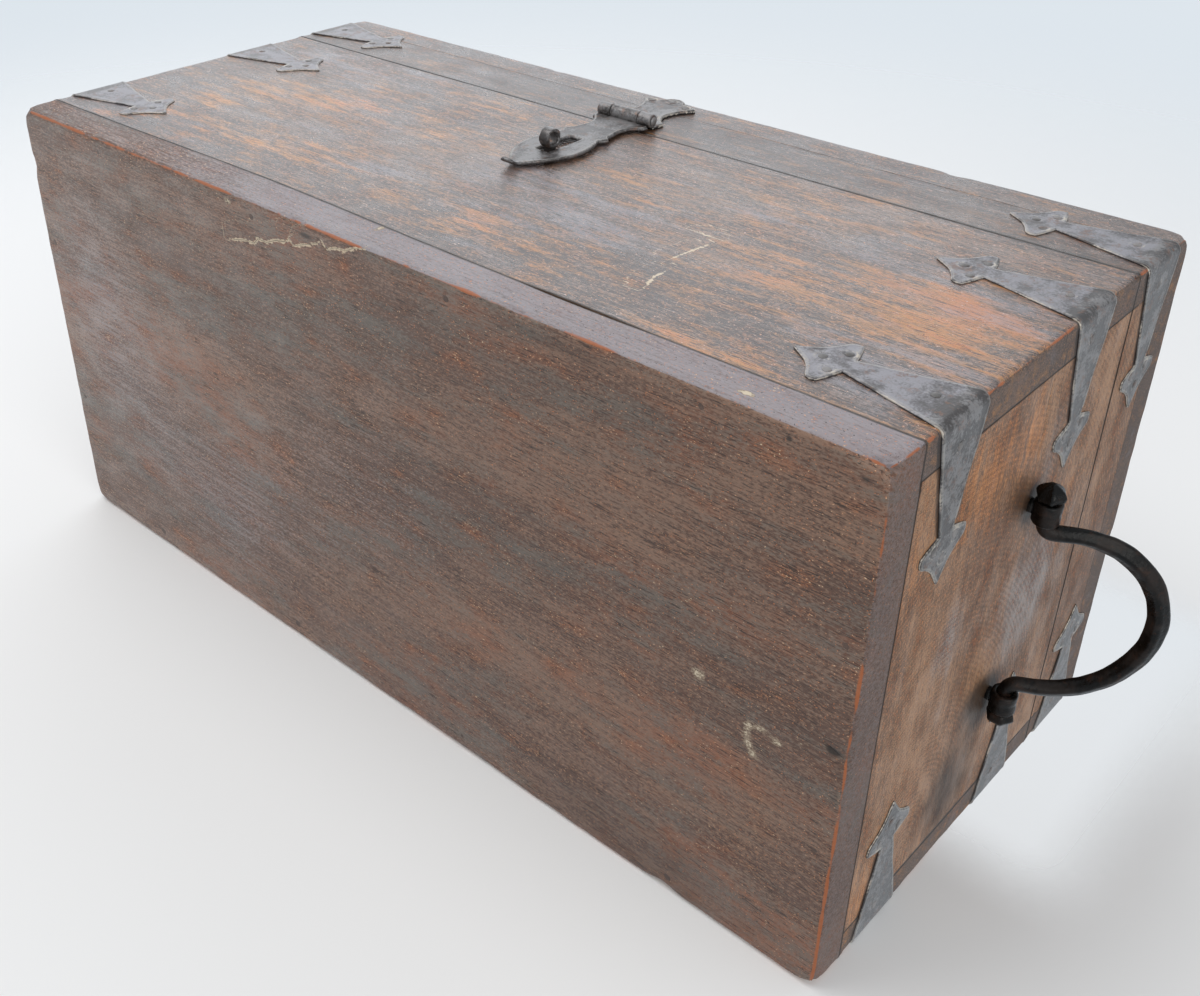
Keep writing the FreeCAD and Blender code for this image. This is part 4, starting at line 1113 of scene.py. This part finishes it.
def leafPlace(along, across, height):
    # the leaf hangs straight from its pin, then its end rolls outwards round the lip
    bend = hasp["lipInside"] + hasp["sheet"]
    angle = np.maximum(along - hasp["tip"], 0) / bend
    inner = bend - height
    y = hasp["leafBack"] - bend + inner * np.cos(angle)
    z = hasp["pinZ"] - np.minimum(along, hasp["tip"]) - inner * np.sin(angle)
    return np.stack([hasp["x"] + across, y, z], 1) * mm


lipEnd = hasp["tip"] + math.radians(hasp["lipTurn"]) * (hasp["lipInside"] + hasp["sheet"])
outline = bowedLine(hasp["leaf"] + ((lipEnd - 1.5, hasp["tipHalf"], 0), (lipEnd, hasp["tipHalf"] - 1.2, 0.4)))
rows = gridLines(outline[0, 0], lipEnd, *hasp["leafRows"])
rows = np.unique(np.concatenate([rows, hasp["slot"][:2]]))
leaf, rim = ironSheet(outline, leafPlace, hasp["sheet"], 610, (), rows, hasp["slot"], 0.0, 0.1, 0.14)
rim["dirt"] = rim["dirt"] * 0.5
# the leaf's back gets no painted shade, since it shows when the leaf is lifted
rim["wall"] = rim["wall"] * 0  # its back shows when it is lifted
half = np.array([hasp["width"], hasp["middle"]]) / 2
spans = hasp["x"] + np.concatenate([-half, half[::-1]])
foot = footSheet(leafPlace, *hasp["leafFoot"], half[1], 611)
knuckle = rolledKnuckle(spans[1], spans[2], hasp, 612)
addIron("forged_hasp_leaf", [(leaf, rim), foot, (knuckle, None)], "hasp_leaf")

platePlace = flatPlace(hasp["x"], -halfDeep, hasp["pinZ"], -1, 1)
outline = bowedLine(hasp["plate"])
rows = gridLines(outline[0, 0], outline[-1, 0], *hasp["plateRows"])
parts = [ironSheet(outline, platePlace, hasp["sheet"], 620, hasp["plateNails"], rows)]
for side, a, b in ((-1, spans[0], spans[1] - hasp["gap"]), (1, spans[2] + hasp["gap"], spans[3])):
    parts.append((rolledKnuckle(a, b, hasp, 622 + side), None))
    footPlace = flatPlace((a + b) / 2, -halfDeep, hasp["pinZ"], -1, 1)
    parts.append(footSheet(footPlace, *hasp["plateFoot"], (b - a) / 2, 630 + side))
addIron("forged_hasp_plate", parts, "hasp_plate")
foot = layOn(platePlace, hasp["plateNails"], hasp["sheet"] * nailHead["seat"]) / mm
addNails("hasp_plate_nails", foot, np.tile([0.0, -1.0, 0.0], (len(foot), 1)), 640)
addPin("hasp_pin", spans[0], spans[3], hasp)

staple = {"y": -128.75, "z": 133.3, "bore": 3.1, "strip": 1.65, "half": 3.0, "inside": -106.5, "tail": 10.0}


def stapleRing():
    # a strip curled into a ring: a rounded oblong section carried round a circle, its edges
    # worn thin where the padlock hung
    corner = np.linspace(0, np.pi / 2, 4)
    half, thick, r = staple["half"], staple["strip"] / 2, 0.55
    quarter = np.stack([half - r + r * np.cos(corner), thick - r + r * np.sin(corner)], 1)
    section = np.concatenate([quarter, quarter[::-1] * (-1, 1), -quarter, quarter[::-1] * (1, -1)])
    turn = np.linspace(0, 2 * np.pi, 72, endpoint=False)[:, None]
    across = hasp["x"] + section[:, 0] * (1 - 0.05 * (1 + np.sin(5 * turn)))
    radius = staple["bore"] + thick + section[:, 1]
    return ringShell(ringsAlongX(across, staple["y"], staple["z"], radius, turn) * mm, loop=True)


x, y, z = hasp["x"], staple["y"], staple["z"]
shankLow = (x - staple["half"] + 0.1, y + staple["bore"] + 0.3, z - staple["strip"] + 0.05)
shankHigh = (x + staple["half"] - 0.1, staple["inside"] + 0.5, z + staple["strip"] - 0.05)
tailLow = (x - staple["half"], staple["inside"] + 0.02, z - staple["tail"])
tailHigh = (x + staple["half"], staple["inside"] + staple["strip"], z + staple["tail"])
shells = [stapleRing(), softBlock(shankLow, shankHigh, 0.5, 650), softBlock(tailLow, tailHigh, 0.6, 651)]
addIron("forged_hasp_staple", [(shell, None) for shell in shells], "hasp_staple")
print("hasp")

hinges = {
    "inset": 114.0, "pinY": 125.85, "pinZ": 184.0, "knuckle": 4.0, "bore": 2.06, "pin": 2.0, "head": 2.8,
    "width": 32.0, "middle": 13.0, "gap": 0.3, "sheet": 1.8, "drop": 66.0, "rise": 46.0, "rootHalf": 15.0,
    "rootNails": ((14.0, -8.0), (14.0, 8.0)),
    "foot": (0.2, 6.0, 12, 0.4),
}
backNails = {"hinge_body_nails": [], "hinge_lid_nails": []}
half, inner = hinges["width"] / 2, hinges["middle"] / 2
outer = inner + hinges["gap"]
for label, side in (("left", -1), ("right", 1)):
    centre = side * (halfLong - hinges["inset"])
    spans = {
        "body": [(centre - half, centre - outer), (centre + outer, centre + half)],
        "lid": [(centre - inner, centre + inner)],
    }
    for owner, up, reach in (("body", -1, hinges["drop"]), ("lid", 1, hinges["rise"])):
        place = flatPlace(centre, halfDeep, hinges["pinZ"], 1, up)
        outline = bowedLine([(hinges["knuckle"] + 0.35, hinges["rootHalf"], 0), *spadeStops(reach)])
        spots = [(reach - back, w) for back, w in spade["nails"]]
        if owner == "lid":
            spots = spots[:1]
        spots += hinges["rootNails"]
        parts = [ironSheet(outline, place, hinges["sheet"], 700 + side * 3 + up, spots)]
        for a, b in spans[owner]:
            parts.append((rolledKnuckle(a, b, hinges, 710 + up), None))
            footPlace = flatPlace((a + b) / 2, halfDeep, hinges["pinZ"], 1, up)
            parts.append(footSheet(footPlace, *hinges["foot"], (b - a) / 2, 720 + side + up))
        name = label + "_hinge_" + owner
        addIron("forged_" + name, parts, name + "_leaf")
        heads = layOn(place, spots, hinges["sheet"] * nailHead["seat"]) / mm
        backNails["hinge_" + owner + "_nails"] += list(heads)
    addPin(label + "_hinge_pin", centre - half, centre + half, hinges)
for group, places in backNails.items():
    addNails(group, places, np.tile([0.0, 1.0, 0.0], (len(places), 1)), 730)
print("hinges")

handles = {
    "x": 260.7, "z": 120.0, "armHalf": 38.0, "straight": 11.0, "bar": 4.7, "journal": 3.3, "bend": 4.2,
    "eye": 5.8, "eyeBore": 3.36, "eyeSpan": (42.6, 52.2), "knobStart": 52.6, "knob": 7.4,
    "knobWide": 6.2, "shank": 3.0, "tail": 13.0, "tailThick": 2.4, "inside": 239.0,
    "tilt": {"right": 30.0, "left": -90.0},
}
# the knobs' form from the tip in: shares of their length out from the neck, and of their
# widest radius
knobAlong = np.array([1.0, 0.97, 0.86, 0.7, 0.55, 0.42, 0.36, 0.2, 0.08, 0.0, -0.03])
knobRadius = np.array([0.12, 0.26, 0.52, 0.78, 0.93, 1.0, 1.0, 0.95, 0.9, 0.8, 0.54])


def bailRings():
    # The bar as one sweep: its middle line runs out along the journal, round the elbow, up
    # the arm and round half a circle, then back. Its section goes from a six-sided pointed
    # knob to a round journal, then to an oval with four soft flats that is thickest in the
    # middle of the grip.
    arm, bend, straight = handles["armHalf"], handles["bend"], handles["straight"]
    end = arm + bend
    knobLine = handles["knobStart"] + handles["knob"] * knobAlong
    lineY = np.concatenate([knobLine, np.linspace(handles["knobStart"] - 1.0, end, 14)[:-1]])
    turn = np.linspace(0, np.pi / 2, 10)[1:]
    ring = np.linspace(-np.pi / 2, 0, 40)[1:]
    halfPath = np.concatenate([
        np.stack([np.zeros_like(lineY), -lineY], 1),
        np.stack([bend * (1 - np.cos(turn)), -end + bend * np.sin(turn)], 1),
        np.stack([np.linspace(bend, straight, 6)[1:], np.full(5, -arm)], 1),
        np.stack([straight + arm * np.cos(ring), arm * np.sin(ring)], 1),
    ])
    line = np.concatenate([halfPath, halfPath[-2::-1] * (1, -1)])
    step = np.gradient(line, axis=0)
    step /= np.linalg.norm(step, axis=1)[:, None]
    count, knobs, elbow = len(halfPath), len(knobLine), len(lineY)
    size = np.full(count, handles["journal"])
    size[:knobs] = knobRadius * handles["knobWide"]
    facet = np.zeros(count)
    facet[:knobs] = 1
    grip = np.linspace(0, 1, count - elbow)
    size[elbow:] = handles["journal"] + (handles["bar"] - handles["journal"]) * smoothStep(0, 0.55, grip)
    flats = np.concatenate([np.zeros(elbow), smoothStep(0.05, 0.4, grip)])
    size, facet, flats = (np.concatenate([v, v[-2::-1]]) for v in (size, facet, flats))
    around = np.linspace(0, 2 * np.pi, 36, endpoint=False)
    six = np.cos(np.pi / 6) / np.cos((around + np.pi / 6) % (np.pi / 3) - np.pi / 6)
    four = 1 - 0.15 * (1 - np.cos(4 * around + 0.5)) / 2
    radius = size[:, None] * (1 + facet[:, None] * (six - 1) + flats[:, None] * (four - 1))
    # the bar is forged a little flatter across its plane than in it
    squash = 1 - 0.1 * flats[:, None]
    flatPart = radius * np.cos(around)
    x = line[:, :1] + step[:, 1:] * flatPart
    y = line[:, 1:] - step[:, :1] * flatPart
    return np.stack([x, y, radius * squash * np.sin(around)], 2), flats


def placeHandle(local, side, tilt):
    # turns a part made lying square out from the end about its pivot, then mirrors it
    angle = math.radians(tilt)
    x = local[..., 0] * math.cos(angle) - local[..., 2] * math.sin(angle)
    z = local[..., 0] * math.sin(angle) + local[..., 2] * math.cos(angle)
    return np.stack([side * (handles["x"] + x), local[..., 1], handles["z"] + z], -1) * mm


def eyeShells(side, y0, y1, seed):
    # an eye rolled from a drawn-out bar: a thick ring with worn lips round the journal, a
    # shank through the end panel, and a tail clinched down inside
    bore, inside, z = handles["eyeBore"], handles["inside"], handles["z"]
    edge = np.array([0.0, 0.2, 0.7])
    low = np.array([0.8, 0.3, 0.0])
    body = np.linspace(y0 + 1.2, y1 - 1.2, 8)
    ys = np.concatenate([y0 + edge, body, y1 - edge[::-1], [y1, y1 - 0.3, y0 + 0.3, y0]])
    groove = ringBell(np.linspace(0, 1, 8), 0.35, 0.5, 0.12)
    drop = np.concatenate([low, groove, low[::-1]])
    rs = np.concatenate([handles["eye"] - drop, [bore + 0.2, bore, bore, bore + 0.2]])
    turn = np.linspace(0, 2 * np.pi, 40, endpoint=False)
    outer = (rs > bore + 0.5)[:, None]
    r = rs[:, None] - outer * 0.15 * (1 + np.sin(2 * turn + 0.6))
    rings = np.stack(np.broadcast_arrays(r * np.cos(turn), ys[:, None], r * np.sin(turn)), 2)
    rough = 0.14 * (1 + latticeNoise(rings.reshape(-1, 3) * mm, 3, seed)).reshape(r.shape) * outer
    rings[..., 0] -= rough * np.cos(turn)
    rings[..., 2] -= rough * np.sin(turn)
    barrel = ringShell(placeHandle(rings, side, 0), loop=True)
    middle = (y0 + y1) / 2
    around = np.linspace(0, 2 * np.pi, 20, endpoint=False)
    xs = np.array([inside - 0.5, inside, halfLong, halfLong + 0.6, handles["x"] - handles["eye"] + 1.2])
    rs = np.array([0.8, 1.0, 1.0, 1.0, 1.0]) * handles["shank"]
    shank = ringShell(ringsAlongX(side * xs[:, None], middle, z, rs[:, None], around) * mm)
    ends = sorted((side * (inside - handles["tailThick"]), side * (inside - 0.02)))
    low = (ends[0], middle - 3.0, z - handles["tail"])
    high = (ends[1], middle + 3.0, z + handles["shank"])
    return [barrel, shank, softBlock(low, high, 0.9, seed)]


for label, side in (("right", 1), ("left", -1)):
    rings, flats = bailRings()
    place = placeHandle(rings, side, handles["tilt"][label])
    flat = place.reshape(-1, 3)
    out = place - place.mean(axis=1, keepdims=True)
    out /= np.linalg.norm(out, axis=2, keepdims=True)
    dents = 0.2 * (1 + latticeNoise(flat, 4, 800)) + 0.26 * (1 + latticeNoise(flat, 9, 801))
    dents = dents.reshape(place.shape[:2]) * (0.35 + 0.65 * flats[:, None])
    bail = ringShell(place - out * dents[..., None] * mm)
    addIron("forged_" + label + "_bail", [(bail, None)], label + "_handle_bail", "forgedIron")
    near, far = handles["eyeSpan"]
    for where, a, b in (("front", -far, -near), ("back", near, far)):
        parts = [(shell, None) for shell in eyeShells(side, a, b, 820 + side)]
        name = "_eye_" + where
        addIron("forged_" + label + name, parts, label + "_handle" + name, "forgedIron")
print("handles")

# joint nails stay as the frame gives them, in old iron
for name in ("bottom_board_nails", "lid_top_nails", "carcass_nails"):
    nodes[name].data.materials.clear()
    nodes[name].data.materials.append(finishes["stoppedNail"])
